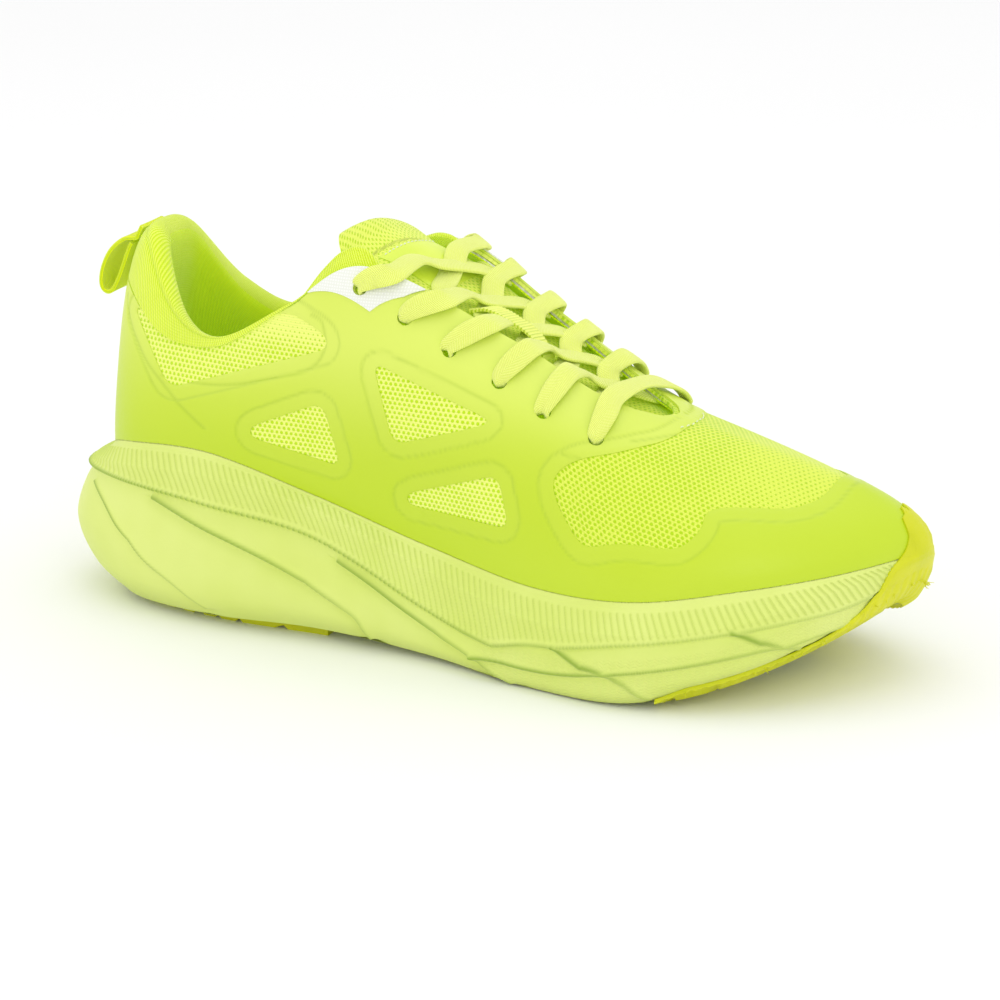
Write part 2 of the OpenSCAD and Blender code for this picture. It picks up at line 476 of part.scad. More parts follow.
// One strand: out from under one edge of the throat, across, and over the other edge into the next hole
crossing = [0.2, 0.4, 0.6, 0.78];
function strand(from, to, side, mid) = let(
    uf = side > 0 ? 20 - ahead(from[0]) : ahead(from[0]), ut = side > 0 ? ahead(to[0]) : 20 - ahead(to[0]),
    climb = mid > low ? 0.62 : 0.5)
    concat([skin(from[0], from[1] + 0.12, lace_d), skin(ahead(from[0]), 1, lace_d) + [0, 0, 0.7]],
        [for (k = crossing) let(v = side * (1 - 2 * k) * 1.02, u = mix(uf, ut, k),
            h = mix(low, mid, smooth(k / 0.4)) + 3.6 * smooth((k - climb) / 0.42)) tongue_at(u, v, 0) + [0, 0, h]],
        dive(to));
function strand_up(from, to, side) = concat(
    [outward(from[0], 0.92), outward(ahead(from[0]), 0.98)],
    [for (k = crossing) unit([0.3, -side * (0.5 - k) * 0.4, 1])],
    dive_up(to));
strand_w = concat([0.75 * lace_w, lace_w], [for (k = crossing) lace_w], dive_w);
function reverse(list) = [for (i = [len(list) - 1:-1:0]) list[i]];
// Side +1 starts under the medial edge, -1 under the lateral edge
function from_hole(k, side) = side > 0 ? HOLES_MEDIAL[k] : HOLES_LATERAL[k];
function flip(k, list) = k % 2 == 0 ? list : [for (n = list) -n];
// The whole lace from the lateral top hole down to the bar and up to the medial top hole.
// Going through a hole turns its face over, so every other strand has its face reversed.
function stretch(k, side) = [strand(from_hole(k + 1, side), from_hole(k, -side), side, side > 0 ? high : low),
    strand_up(from_hole(k + 1, side), from_hole(k, -side), side)];
module lace() {
    count = ROWS - 1;
    ways_down = [for (k = [0:count - 1]) stretch(k, k % 2 == 0 ? 1 : -1)];
    ways_up = [for (k = [0:count - 1]) stretch(count - 1 - k, k % 2 == 0 ? -1 : 1)];
    a = dive(HOLES_MEDIAL[count]);
    b = dive(HOLES_LATERAL[count]);
    middle = mix(a[0], b[0], 0.5) + [0, 0, 1.5];
    bar_up = concat(reverse(dive_up(HOLES_MEDIAL[count])), [[0.2, 0, 1]], dive_up(HOLES_LATERAL[count]));
    points = concat([for (w = ways_down) each reverse(w[0])], reverse(a), [middle], b, [for (w = ways_up) each w[0]]);
    faces = concat([for (k = [0:count - 1]) each flip(k, reverse(ways_down[k][1]))], flip(count, bar_up),
        [for (k = [0:count - 1]) each flip(count + 1 + k, ways_up[k][1])]);
    widths = concat([for (w = ways_down) each reverse(strand_w)], reverse(dive_w), [lace_w], dive_w,
        [for (w = ways_up) each strand_w]);
    color(PALE) band(points, faces, widths, lace_t);
}
module tail(route, side) {
    color(PALE) band(route, [for (p = route) [0, side, 0.2]], [for (p = route) lace_w], lace_t);
}
module lace_tail_lateral() { tail(TAIL_LATERAL, -1); }
module lace_tail_medial() { tail(TAIL_MEDIAL, 1); }
// Aglet: a tight sleeve that carries on from the end of the tail
module aglet(route) {
    n = len(route);
    d = unit(route[n - 1] - route[n - 2]);
    translate(route[n - 1] + d * 0.05)
        rotate([0, acos(d.z), atan2(d.y, d.x)])
            color(PALE) cylinder(d1 = 3.6, d2 = 3, h = 13, $fn = 24);
}
module aglet_lateral() { aglet(TAIL_LATERAL); }
module aglet_medial() { aglet(TAIL_MEDIAL); }

// ---- heel pull loop ----
module loop_strip(path, w, h) {
    n = len(path);
    function normal(i) = let(a = path[max(i - 1, 0)], b = path[min(i + 1, n - 1)], d = unit(b - a)) [-d.y, d.x];
    function side(k) = [for (i = [0:n - 1]) path[i] + k * normal(i)];
    translate([0, w / 2, 0])
        rotate([90, 0, 0])
            linear_extrude(w)
                polygon(concat(side(h / 2), reverse(side(-h / 2))));
}
module pull_loop_anchor() {
    color(DARK) loop_strip(LOOP_SEAM, loop_w, loop_t);
}
module pull_loop() {
    color(DARK) loop_strip(LOOP_PATH, loop_w, loop_t);
}

midsole();
outsole_toe();
outsole_forefoot_lateral();
outsole_forefoot_medial();
outsole_heel_lateral();
outsole_heel_medial();
strobel_board();
insole_foam();
insole_cover();
heel_counter();
toe_puff();
mesh_vamp();
mesh_quarter_lateral();
mesh_quarter_medial();
film_heel();
film_lateral();
film_medial();
film_toe();
film_throat();
eyestay_stiffener_lateral();
eyestay_stiffener_medial();
eyelet_panel_lateral();
eyelet_panel_medial();
lining_quarter_lateral();
lining_quarter_medial();
collar_foam();
collar_cover();
tongue();
tongue_top();
tongue_label();
lace_keeper();
lace();
lace_tail_lateral();
lace_tail_medial();
aglet_lateral();
aglet_medial();
pull_loop_anchor();
pull_loop();
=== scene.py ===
"""Looks of the running shoe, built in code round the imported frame.

X runs from heel to toe, Y towards the inner (medial) side, Z up. Shapes are worked out in
millimetres and turned into metres when a mesh is made. Twenty stations go round the shoe:
0 heel, 5 lateral waist, 10 toe, 15 medial waist.
"""

import math

import bpy
import numpy as np
from mathutils import Matrix, Vector
from mathutils.kdtree import KDTree


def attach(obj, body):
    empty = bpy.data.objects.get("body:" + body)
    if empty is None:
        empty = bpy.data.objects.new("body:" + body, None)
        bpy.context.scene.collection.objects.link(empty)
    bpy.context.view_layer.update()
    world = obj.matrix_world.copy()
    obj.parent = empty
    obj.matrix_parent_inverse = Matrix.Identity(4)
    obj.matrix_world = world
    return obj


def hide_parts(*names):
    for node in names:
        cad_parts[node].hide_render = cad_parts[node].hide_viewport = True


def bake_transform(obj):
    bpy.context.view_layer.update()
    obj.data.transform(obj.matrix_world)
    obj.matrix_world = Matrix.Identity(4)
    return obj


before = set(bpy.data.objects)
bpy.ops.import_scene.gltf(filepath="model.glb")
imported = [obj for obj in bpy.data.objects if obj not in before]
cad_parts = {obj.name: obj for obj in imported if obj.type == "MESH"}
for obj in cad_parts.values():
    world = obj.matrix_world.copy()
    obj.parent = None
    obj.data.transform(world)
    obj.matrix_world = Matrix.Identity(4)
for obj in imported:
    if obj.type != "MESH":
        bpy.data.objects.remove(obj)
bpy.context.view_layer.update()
MM = 0.001
rng = np.random.default_rng(42)

# ---- driving sizes, the same as the CAD part's ----
RUBBER_T = 2.8
TREAD_D = 1.2
HEEL_STACK = 34
FORE_STACK = 24
STROBEL_T = 1.2
INSOLE_T = 3.6
FILM_T = 0.8
MESH_T = 1.1
STAY_T = 0.7
LINING_T = 0.5
COUNTER_T = 1.5
EYELET_D = 5
TONGUE_T = 5
LACE_W = 7.5
LACE_T = 1.6
LOOP_W = 15
LOOP_T = 1.4
GAP = 0.08
BED_INSET = 5
NARROW_W = 4.4
TONGUE_U = 4.9

# Plan outline of the sole at the twenty stations
OUTLINE = [[-150, -1], [-144, -26], [-121, -41], [-85, -46], [-45, -44.5],
    [-5, -45], [35, -52.5], [72, -56], [106, -46], [134, -22.5],
    [150, 8], [143, 30], [118, 46.5], [84, 53], [46, 48.5],
    [8, 41], [-32, 39], [-72, 43], [-113, 41], [-142, 26]]
# Rows round the sole, each [distance in from the outline, height]
BITE = [[12.5, 47], [13.5, 50], [8, 56.8], [7, 58.8], [6.5, 49], [6, 38.3], [6, 33], [7, 34.2],
    [7.5, 39.2], [7, 42.3], [5, 44.5], [7, 42.6], [7.5, 40.2], [7, 35.4], [6, 33.6], [6, 37.5],
    [6.5, 47.5], [7, 57.6], [8, 58], [13, 50.5]]
RIM = [[6.5, 44], [7, 46], [3.5, 50], [3, 52], [2.5, 46], [2, 32], [1.5, 24], [1.5, 25],
    [3, 30], [5, 38], [5.5, 42], [5, 37], [3, 31], [1.5, 26], [1.5, 24], [2, 28],
    [2.5, 42], [3, 51], [3.5, 51], [7, 45.5]]
GROOVE = [[5, 41], [5, 42.5], [2.5, 44.5], [1.8, 44], [1.5, 39.5], [1, 21], [0.5, 11], [0.5, 15.3],
    [3, 22], [5, 31], [7.5, 38], [5, 31], [3, 22.5], [0.5, 16], [0.5, 11.5], [1, 14],
    [1.5, 33], [1.8, 43], [2.5, 44.5], [5, 42.5]]
BULGE = [[0, 26], [0, 26], [0, 26], [0, 25], [0, 22], [0, 14], [0.3, 7.5], [0.5, 9],
    [3, 16], [7, 26], [9, 33], [7, 26], [3, 16.5], [0.5, 10], [0.3, 7.5], [0, 10],
    [0, 19], [0, 25], [0, 26], [0, 26]]
EDGE = [[16, 3.2], [15, 3], [9, 2.8], [6, 3.3], [5, 4.4], [4, 2.3], [3, 0.6], [4, 1.8],
    [9, 8.5], [13, 18], [16, 24], [13, 18], [9, 9.5], [4.5, 2.8], [3, 0.6], [3.5, 1.5],
    [5, 4.2], [6, 3.8], [9, 2.8], [15, 3]]
# Top line: round the collar, then up one side of the throat and down the other
TOPLINE = [[-123, 0, 124.5], [-120, -12.5, 121.5], [-105, -25, 102], [-85, -31.5, 96],
    [-58, -33, 110.5], [-32, -26.5, 125], [14, -18, 105], [44, -13, 88.5], [58, -6, 82.5],
    [61.5, -2, 81.5], [62.5, 1, 81.3], [61.5, 4, 81.5], [58, 8, 82.5], [44, 14, 87.5],
    [14, 19.5, 103.5], [-26, 26, 122], [-59, 34, 107], [-87, 32, 91], [-106, 25, 99.5],
    [-119.5, 13, 120.5]]
# How the upper leaves the bite line, and how it arrives at the top line
LEAVE = [[2, 0, 25], [1, -1, 24], [0, -2, 15], [0, -2, 13], [0, -2, 18], [0, -2, 20], [0, -2, 18],
    [0, -2, 16], [1, -2, 15], [1, -1, 15], [1, 0, 17], [1, 1, 15], [1, 2, 15], [0, 2, 16],
    [0, 2, 18], [0, 2, 20], [0, 2, 18], [0, 2, 13], [0, 2, 15], [1, 1, 24]]
ARRIVE = [[-11, 0, -5], [-9, -5, -5], [-3, -6, -10], [0, -5, -10], [2, -4, -14], [4, -13, -16],
    [6, -16, -12], [8, -16, -9], [20, -10, -7], [34, -5, -8], [38, 0, -8], [34, 5, -8],
    [20, 12, -7], [8, 16, -9], [6, 16, -12], [4, 13, -16], [2, 4, -14], [0, 5, -10],
    [-3, 6, -11], [-9, 5, -5]]
# Where the knitted collar cover starts on the outside, as a share of the height of the upper
COLLAR_SEAM = [[0.66], [0.67], [0.77], [0.91], [0.985], [1], [1], [1], [1], [1], [1], [1], [1],
    [1], [1], [1], [0.985], [0.91], [0.77], [0.67]]
# Lace holes as [station, share of the height], from the ankle down to the toe
HOLES_LATERAL = [[4.93, 0.89], [5.27, 0.82], [5.56, 0.78], [5.91, 0.76], [6.3, 0.73], [6.87, 0.73]]
HOLES_MEDIAL = [[15.1, 0.88], [14.77, 0.8], [14.4, 0.76], [14, 0.76], [13.55, 0.73], [12.95, 0.73]]
# Window outlines in the film, seen from the side as [x, z]
SIDE_WINDOWS = [
    [[-69.6, 69.8], [-43.4, 80.9], [-36.6, 60.2], [-69.3, 66]],
    [[-25.6, 96.5], [17.5, 82], [-17.5, 70.6]],
    [[-12.6, 55.1], [21, 66.6], [26.4, 50.1], [-12.4, 51]]]
COLLAR_WINDOW = [[-123, 100], [-101.5, 78], [-42.3, 98.3], [-43.3, 103], [-58, 108.8], [-77, 99.5],
    [-87, 95], [-98, 95], [-108, 98]]
# Forefoot area left open in the film, seen from above as [x, y]
VAMP_WINDOW = [[39, -39], [41, -42], [50, -46], [56, -47], [84, -42], [89, -36], [88, -30],
    [111, -17], [118, -7], [119, 12], [112, 24], [98, 36], [84, 42], [56, 43], [48, 40], [40, 34],
    [62, 24], [70, 12], [71, 0], [68, -15], [56, -28]]
# Routes of the two lace ends tucked down inside the quarters, from lace hole to tip
TAIL_LATERAL = [[-33, -26, 114], [-36, -27, 109], [-37.5, -28, 103], [-37, -29, 96],
    [-35.5, -29.5, 88], [-34, -30, 81], [-32.5, -30.5, 75], [-31.5, -30.5, 70]]
TAIL_MEDIAL = [[-31, 23.5, 113], [-36, 24, 109], [-38.5, 24.5, 103], [-38.5, 25, 96],
    [-37, 25.5, 88], [-35.5, 26, 81], [-34, 26, 75], [-33, 26, 70]]
# Side profile of the heel pull loop, from the upper seam round the bight to the lower seam
LOOP_PATH = [[-129.8, 118.1], [-134.5, 117.2], [-139.5, 113], [-142.6, 107.5], [-143.8, 102.5],
    [-143.3, 99.4], [-141.4, 98.2], [-139.3, 99.3], [-137.4, 102.5], [-135.6, 106.5], [-134, 110.5],
    [-132.6, 114], [-131.5, 116.2]]
LOOP_SEAM = [[-127.4, 122.3], [-128.9, 119.5]]


# ---- curves and surfaces ----
def spline(a, b, c, d, u):
    """Catmull-Rom curve from b to c."""
    return 0.5 * (2 * b + (c - a) * u + (2 * a - 5 * b + 4 * c - d) * u * u
                  + (3 * b - a - 3 * c + d) * u * u * u)


def at(table, t):
    """Smooth closed curve through a table, at stations t."""
    tab = np.asarray(table, float)
    n = len(tab)
    w = np.mod(np.asarray(t, float), n)
    i = np.floor(w).astype(int) % n
    u = (w - np.floor(w))[..., None]
    return spline(tab[(i - 1) % n], tab[i], tab[(i + 1) % n], tab[(i + 2) % n], u)


def along(points, u):
    """Smooth open curve through points, u from 0 to the last index. The points may be arrays."""
    tab = np.asarray(points, float)
    n = len(tab)
    u = np.asarray(u, float)
    i = np.clip(np.floor(u).astype(int), 0, n - 2)
    v = (u - i)[..., None]
    return spline(tab[np.maximum(i - 1, 0)], tab[i], tab[i + 1], tab[np.minimum(i + 2, n - 1)], v)


def mix(a, b, k):
    return a * (1 - k) + b * k


def smooth(v):
    c = np.clip(v, 0, 1)
    return c * c * (3 - 2 * c)


def unit(v):
    return v / np.maximum(np.linalg.norm(v, axis=-1, keepdims=True), 1e-12)


def col(v):
    return np.asarray(v, float)[..., None]


def plan(t):
    return at(OUTLINE, t)


def inward(t):
    d = plan(t + 0.02) - plan(t - 0.02)
    return unit(np.stack([-d[..., 1], d[..., 0]], -1))


def inset(t, d, z):
    p = plan(t) + col(d) * inward(t)
    return np.concatenate([p, col(z)], -1)


def row(table, t):
    v = at(table, t)
    return inset(t, v[..., 0], v[..., 1])


def spring(x):
    """Toe spring: height of the ground face of the sole above the floor."""
    return 21 * np.maximum((x - 72) / 60, 0) ** 1.6


def bed(x):
    """Height of the foam bed under the strobel board."""
    back = mix(HEEL_STACK, FORE_STACK, smooth((x + 60) / 130))
    front = FORE_STACK + 10 * ((x - 70) / 65) ** 2
    return np.where(x < 70, back, front)


def bed_point(t, d, h):
    p = inset(t, d, np.zeros(np.shape(t)))
    p[..., 2] = bed(p[..., 0]) + h
    return p


def ground(t, d, h):
    p = inset(t, d, np.zeros(np.shape(t)))
    p[..., 2] = spring(p[..., 0]) + h
    return p


def upper(t, s):
    """Outer face of the upper: s is -1 at the bed, 0 at the bite line and 1 at the top line."""
    t, s = np.broadcast_arrays(np.asarray(t, float), np.asarray(s, float))
    b = row(BITE, t)
    below = mix(b, bed_point(t, at(BITE, t)[..., 0] + BED_INSET, STROBEL_T), -col(s))
    top = at(TOPLINE, t)
    s3, k = col(s), 1 - col(s)
    above = (k ** 3 * b + 3 * k * k * s3 * (b + at(LEAVE, t))
             + 3 * k * s3 * s3 * (top + at(ARRIVE, t)) + s3 ** 3 * top)
    return np.where(s3 < 0, below, above)


def outward(t, s):
    c = np.minimum(s, 0.985)
    return unit(np.cross(upper(t + 0.02, c) - upper(t - 0.02, c), upper(t, c + 0.01) - upper(t, c - 0.01)))


def skin(t, s, d):
    """A point at depth d under the outer face."""
    t, s = np.broadcast_arrays(np.asarray(t, float), np.asarray(s, float))
    return upper(t, s) - col(d) * outward(t, s)


def toe_share(t):
    """1 where the toe rubber wraps the edge of the foam, 0 elsewhere."""
    return smooth((2.9 - np.abs(np.mod(t, 20) - 10)) / 0.5)


def edge(t):
    p = row(EDGE, t)
    p[..., 2] += (RUBBER_T + GAP) * toe_share(t)
    return p


def sole_side(t, w):
    """Side of the sole: w is 0 at the ground edge, 1 at the bulge, 2 groove, 3 rim, 4 bite line."""
    t, w = np.broadcast_arrays(np.asarray(t, float), np.asarray(w, float))
    low, bulge = edge(t), row(BULGE, t)
    flare = np.linalg.norm(bulge - low, axis=-1, keepdims=True)
    out = np.concatenate([-inward(t), np.full(t.shape + (1,), -0.5)], -1)
    belly = mix(low, bulge, 0.45) + 0.12 * flare * out
    stations = np.stack([low, belly, bulge, row(GROOVE, t), row(RIM, t), row(BITE, t)])
    knots = np.interp(w, [0, 0.5, 1, 2, 3, 4], [0, 1, 2, 3, 4, 5])
    i = np.clip(np.floor(knots).astype(int), 0, 4)
    u = (knots - i)[..., None]

    def pick(k):
        return np.take_along_axis(stations, np.clip(k, 0, 5)[None, ..., None], 0)[0]
    flat = np.where(col(w) < 2, spline(pick(i - 1), pick(i), pick(i + 1), np.where(
        (i == 2)[..., None], pick(i + 1), pick(i + 2)), u), mix(pick(i), pick(i + 1), u))
    return flat


FILM_D = [0.05, FILM_T]
MESH_D = [FILM_D[1] + GAP, FILM_D[1] + GAP + MESH_T]
STAY_D = [MESH_D[1] + GAP, MESH_D[1] + GAP + STAY_T]
LINING_D = [STAY_D[1] + GAP, STAY_D[1] + GAP + LINING_T]
LACE_D = LINING_D[1] + 0.2 + LACE_T / 2
TONGUE_D = LINING_D[1] + LACE_T + 0.5
COUNTER_D = [MESH_D[1] + GAP, MESH_D[1] + GAP + COUNTER_T]
INNER_D = COUNTER_D[1] + GAP + 1


def roll(t):
    """Half thickness of the collar roll: full at the heel, thin where it meets the throat."""
    return 2 + 4.2 * smooth((4.5 - np.abs(t)) / 2.6)


def collar(t, w, e):
    """Path over the collar: w 0 at the outer seam, 1 ridge, 2 inside the roll, 3 foot of the lining."""
    t, w, e = np.broadcast_arrays(np.asarray(t, float), np.asarray(w, float), np.asarray(e, float))
    top, r = upper(t, 1), col(roll(t))
    d = upper(t + 0.05, 1) - upper(t - 0.05, 1)
    h = unit(np.stack([-d[..., 1], d[..., 0], np.zeros(t.shape)], -1))
    up = np.array([0, 0, 1.0])
    q = top + h * r - up * r * 1.2
    foot = skin(t, 0.06, INNER_D)
    outside = skin(t, mix(at(COLLAR_SEAM, t)[..., 0], 1, np.clip(w, 0, 1)), e + FILM_D[0])
    a, e = col(np.clip(w - 1, 0, 1) * math.pi / 2), col(e)
    over = top + h * (r - e) * np.sin(a) - up * (r * 1.2 - (r * 1.2 - e) * np.cos(a))
    u = col(np.clip(w - 2, 0, 1))
    k = 1 - u
    inside = (k ** 3 * q + 3 * k * k * u * (q - 14 * up) + 3 * k * u * u * (foot + 14 * up)
              + u ** 3 * foot - h * e)
    return np.where(col(w) <= 1, outside, np.where(col(w) <= 2, over, inside))


def tongue_at(u, v, d):
    """Padded tongue: u is the lateral station, v runs -2..2 from the lateral to the medial wing."""
    u, v, d = np.broadcast_arrays(np.asarray(u, float), np.asarray(v, float), np.asarray(d, float))
    crown = 6.6 * smooth((5.6 - u) / 0.75) - 0.6 - smooth((u - 6.5) / 2)
    wing = [skin(u, 0.8, TONGUE_D + d), skin(u, 1, TONGUE_D + d)]
    far = [skin(20 - u, 1, TONGUE_D + d), skin(20 - u, 0.8, TONGUE_D + d)]
    mid = (skin(u, 1, TONGUE_D) + skin(20 - u, 1, TONGUE_D)) / 2
    mid[..., 2] += crown - d
    rows = np.stack([wing[0], wing[1], mid, far[0], far[1]])
    k = v + 2
    i = np.clip(np.floor(k).astype(int), 0, 3)

    def pick(j):
        return np.take_along_axis(rows, np.clip(j, 0, 4)[None, ..., None], 0)[0]
    return spline(pick(i - 1), pick(i), pick(i + 1), pick(i + 2), (k - i)[..., None])


# ---- materials ----
def srgb(r, g, b):
    """Linear colour from the 0 to 255 values of a paint chip."""
    def linear(c):
        c = c / 255
        return c / 12.92 if c <= 0.04045 else ((c + 0.055) / 1.055) ** 2.4
    return (linear(r), linear(g), linear(b), 1)


# Painted glow: the neon fabrics emit a little green and yellow light of their own, whatever light falls on
# them, standing in for their fluorescent dye
PAINTED_GLOW = {"Emission Color": (0.5, 0.75, 0.01, 1), "Emission Strength": 0.16}


class Graph:
    """Node tree of one Principled material, with short names for the nodes used here."""

    def __init__(self, name, roughness, sockets=None):
        self.material = bpy.data.materials.new(name)
        self.material.use_nodes = True
        self.tree = self.material.node_tree
        self.shader = self.tree.nodes["Principled BSDF"]
        self.shader.inputs["Roughness"].default_value = roughness
        for key, value in (sockets or {}).items():
            self.shader.inputs[key].default_value = value

    def node(self, kind, inputs, **settings):
        made = self.tree.nodes.new(kind)
        for key, value in settings.items():
            setattr(made, key, value)
        for key, value in inputs.items():
            if isinstance(value, bpy.types.NodeSocket):
                self.tree.links.new(value, made.inputs[key])
            else:
                made.inputs[key].default_value = value
        return made

    def math(self, operation, a, b=0.0, c=0.0):
        return self.node("ShaderNodeMath", {0: a, 1: b, 2: c}, operation=operation).outputs[0]

    def times(self, a, b):
        return self.math("MULTIPLY", a, b)

    def plus(self, a, b):
        return self.math("ADD", a, b)

    def minus(self, a, b):
        return self.math("SUBTRACT", a, b)

    def ramp(self, value, low, high, to_low=0.0, to_high=1.0):
        made = self.node("ShaderNodeMapRange", {0: value, 1: low, 2: high, 3: to_low, 4: to_high},
                         interpolation_type="SMOOTHSTEP")
        return made.outputs[0]

    def attribute(self, name):
        made = self.node("ShaderNodeAttribute", {}, attribute_name=name)
        parts = self.node("ShaderNodeSeparateXYZ", {0: made.outputs["Vector"]})
        return parts.outputs

    def place(self):
        return self.node("ShaderNodeTexCoord", {}).outputs["Object"]

    def noise(self, scale, detail=2.0, vector=None):
        made = self.node("ShaderNodeTexNoise", {"Vector": vector or self.place(), "Scale": scale,
                                                "Detail": detail})
        return made.outputs[0]

    def vector(self, x, y, z=0.0):
        return self.node("ShaderNodeCombineXYZ", {0: x, 1: y, 2: z}).outputs[0]

    def blend(self, factor, a, b):
        return self.node("ShaderNodeMix", {0: factor, 6: a, 7: b}, data_type="RGBA").outputs[2]

    def wave(self, value, pitch):
        """Smooth ridges from 0 to 1, one for each pitch."""
        turn = self.times(value, 2 * math.pi / pitch)
        return self.math("MULTIPLY_ADD", self.math("SINE", turn), 0.5, 0.5)

    def holes(self, u, v, pitch, radius, soft):
        """Round holes in staggered rows: 1 in a hole, 0 on the threads between."""
        rung = self.math("DIVIDE", v, pitch * 0.866)
        shift = self.times(self.math("FLOORED_MODULO", self.math("FLOOR", rung), 2.0), 0.5)
        across = self.minus(self.math("FRACT", self.math("MULTIPLY_ADD", u, 1 / pitch, shift)), 0.5)
        up = self.times(self.minus(self.math("FRACT", rung), 0.5), 0.866)
        far = self.math("SQRT", self.plus(self.math("POWER", across, 2.0), self.math("POWER", up, 2.0)))
        return self.ramp(self.minus(far, radius), soft, -soft)

    def finish(self, color, height=None, depth=0.0002, strength=1.0, rough=None):
        if isinstance(color, bpy.types.NodeSocket):
            self.tree.links.new(color, self.shader.inputs["Base Color"])
        else:
            self.shader.inputs["Base Color"].default_value = color
        if height is not None:
            bump = self.node("ShaderNodeBump", {"Height": height, "Distance": depth, "Strength": strength})
            self.tree.links.new(bump.outputs[0], self.shader.inputs["Normal"])
        if rough is not None:
            self.tree.links.new(rough, self.shader.inputs["Roughness"])
        return self.material


def foam_material():
    """Skin of moulded foam: matte, faintly mottled, with painted shade in the creases, in the rim rib cuts and
    towards the ground edge, zigzag grain where marked.
    """
    g = Graph("foam_skin", 0.62, {"Sheen Weight": 0.12, "Specular IOR Level": 0.35})
    u, v, zigzag = g.attribute("pat")
    crease, rib, low = g.attribute("mark")
    speckle = g.noise(1600, 3)
    cloud = g.noise(28, 2)
    tone = g.blend(g.ramp(cloud, 0.3, 0.7), srgb(225, 237, 134), srgb(217, 231, 118))
    # Painted shade: darker towards the ground edge where the side turns under, in the cuts between the rim
    # ribs, and darkest in the creases
    tone = g.blend(low, tone, srgb(205, 221, 102))
    tone = g.blend(g.times(rib, 0.5), tone, srgb(190, 212, 84))
    tone = g.blend(crease, tone, srgb(122, 158, 14))
    bend = g.math("ABSOLUTE", g.minus(g.math("FRACT", g.math("DIVIDE", u, 3.0)), 0.5))
    step = g.math("MULTIPLY_ADD", bend, 1.5, v)
    grain = g.times(g.wave(step, 1.0), g.times(zigzag, 0.8))
    height = g.plus(g.times(speckle, 0.35), grain)
    return g.finish(tone, height, 0.00022, 0.7)


def rubber_material(name, light, dark):
    """Blown rubber: satin, fine grain, a little darker in random patches."""
    g = Graph(name, 0.5, {"Specular IOR Level": 0.45})
    grain = g.noise(1100, 4)
    cloud = g.noise(40, 3)
    tone = g.blend(g.ramp(cloud, 0.3, 0.75), light, dark)
    return g.finish(tone, grain, 0.00015, 0.6, g.ramp(grain, 0.2, 0.8, 0.42, 0.6))


def film_material():
    """Welded film: satin, with painted sheen that makes it pale where it faces up near the laces and deeper
    towards the sole; painted shade darkens its embossed lines.
    """
    g = Graph("overlay_film", 0.42, {"Specular IOR Level": 0.5, "Coat Weight": 0.15, "Coat Roughness": 0.4})
    line, band, painted_sheen = g.attribute("mark")
    grain = g.noise(900, 3)
    cloud = g.noise(16, 2)
    # Painted sheen: paler where the film faces up near the laces, standing in for the reflection of the
    # overhead light
    tone = g.blend(g.ramp(painted_sheen, 0.0, 1.0), srgb(194, 219, 22), srgb(222, 238, 100))
    tone = g.blend(g.times(g.ramp(cloud, 0.35, 0.8), 0.35), tone, srgb(203, 225, 45))
    tone = g.blend(g.times(band, 0.06), tone, srgb(232, 243, 130))
    # Painted shade in the embossed lines and along the step round each window
    tone = g.blend(line, tone, srgb(150, 184, 20))
    return g.finish(tone, grain, 0.00006, 0.5, g.ramp(grain, 0.2, 0.8, 0.38, 0.48))


def mesh_material(name, pitch, light, hole, radius=0.3):
    """Engineered mesh: staggered round holes between plump knitted threads. mark.x closes the holes; mark.y is
    painted shade.
    """
    g = Graph(name, 0.8, {"Sheen Weight": 0.25, "Specular IOR Level": 0.25, **PAINTED_GLOW})
    u, v, _ = g.attribute("pat")
    closed, shade, _ = g.attribute("mark")
    wobble = g.noise(500, 1)
    u2 = g.math("MULTIPLY_ADD", g.minus(wobble, 0.5), 0.35, u)
    size = g.math("MULTIPLY_ADD", closed, -radius, radius)
    size = g.math("MULTIPLY_ADD", g.minus(g.noise(90, 2), 0.5), 0.16, size)
    open_ = g.holes(u2, v, pitch, size, 0.09)
    thread = g.wave(g.plus(u2, g.times(v, 0.5)), pitch * 0.25)
    loops = g.wave(v, pitch * 0.433)
    weave = g.times(g.plus(thread, loops), 0.22)
    height = g.minus(weave, g.times(open_, 0.7))
    tone = g.blend(g.ramp(weave, 0.05, 0.4), srgb(*[int(c * 0.93) for c in light]), srgb(*light))
    # Painted shade, by mark.y
    tone = g.blend(shade, tone, srgb(196, 218, 60))
    tone = g.blend(open_, tone, srgb(*hole))
    return g.finish(tone, height, 0.0004, 0.7)


def knit_material(name, light, dark, pitch, lean):
    """Fine knit with diagonal ribs of small stitches; mark.x is painted shade."""
    g = Graph(name, 0.85, {"Sheen Weight": 0.35, "Specular IOR Level": 0.2, **PAINTED_GLOW})
    u, v, _ = g.attribute("pat")
    shade, _, _ = g.attribute("mark")
    wale = g.wave(g.math("MULTIPLY_ADD", v, lean, u), pitch)
    course = g.wave(v, pitch * 0.9)
    height = g.times(wale, g.math("MULTIPLY_ADD", course, 0.5, 0.5))
    tone = g.blend(g.ramp(height, 0.05, 0.6), srgb(*dark), srgb(*light))
    tone = g.blend(g.times(g.ramp(g.noise(60, 2), 0.35, 0.8), 0.25), tone, srgb(*dark))
    # Painted shade, by mark.x
    tone = g.blend(shade, tone, srgb(168, 204, 4))
    return g.finish(tone, height, 0.00035, 0.8)


def lace_material():
    """Flat tubular lace: plain weave with small chevrons across and a plump selvedge."""
    g = Graph("flat_lace", 0.82, {"Sheen Weight": 0.3, "Specular IOR Level": 0.25})
    across, length, _ = g.attribute("pat")
    pick = g.wave(g.plus(length, g.times(g.math("ABSOLUTE", across), 0.6)), 0.62)
    end = g.wave(across, 0.75)
    height = g.times(pick, g.math("MULTIPLY_ADD", end, 0.5, 0.5))
    tone = g.blend(g.ramp(height, 0.0, 0.7), srgb(226, 242, 96), srgb(248, 254, 144))
    tone = g.blend(g.times(g.ramp(g.noise(120, 3), 0.4, 0.8), 0.3), tone, srgb(238, 249, 112))
    return g.finish(tone, height, 0.00022, 0.8)


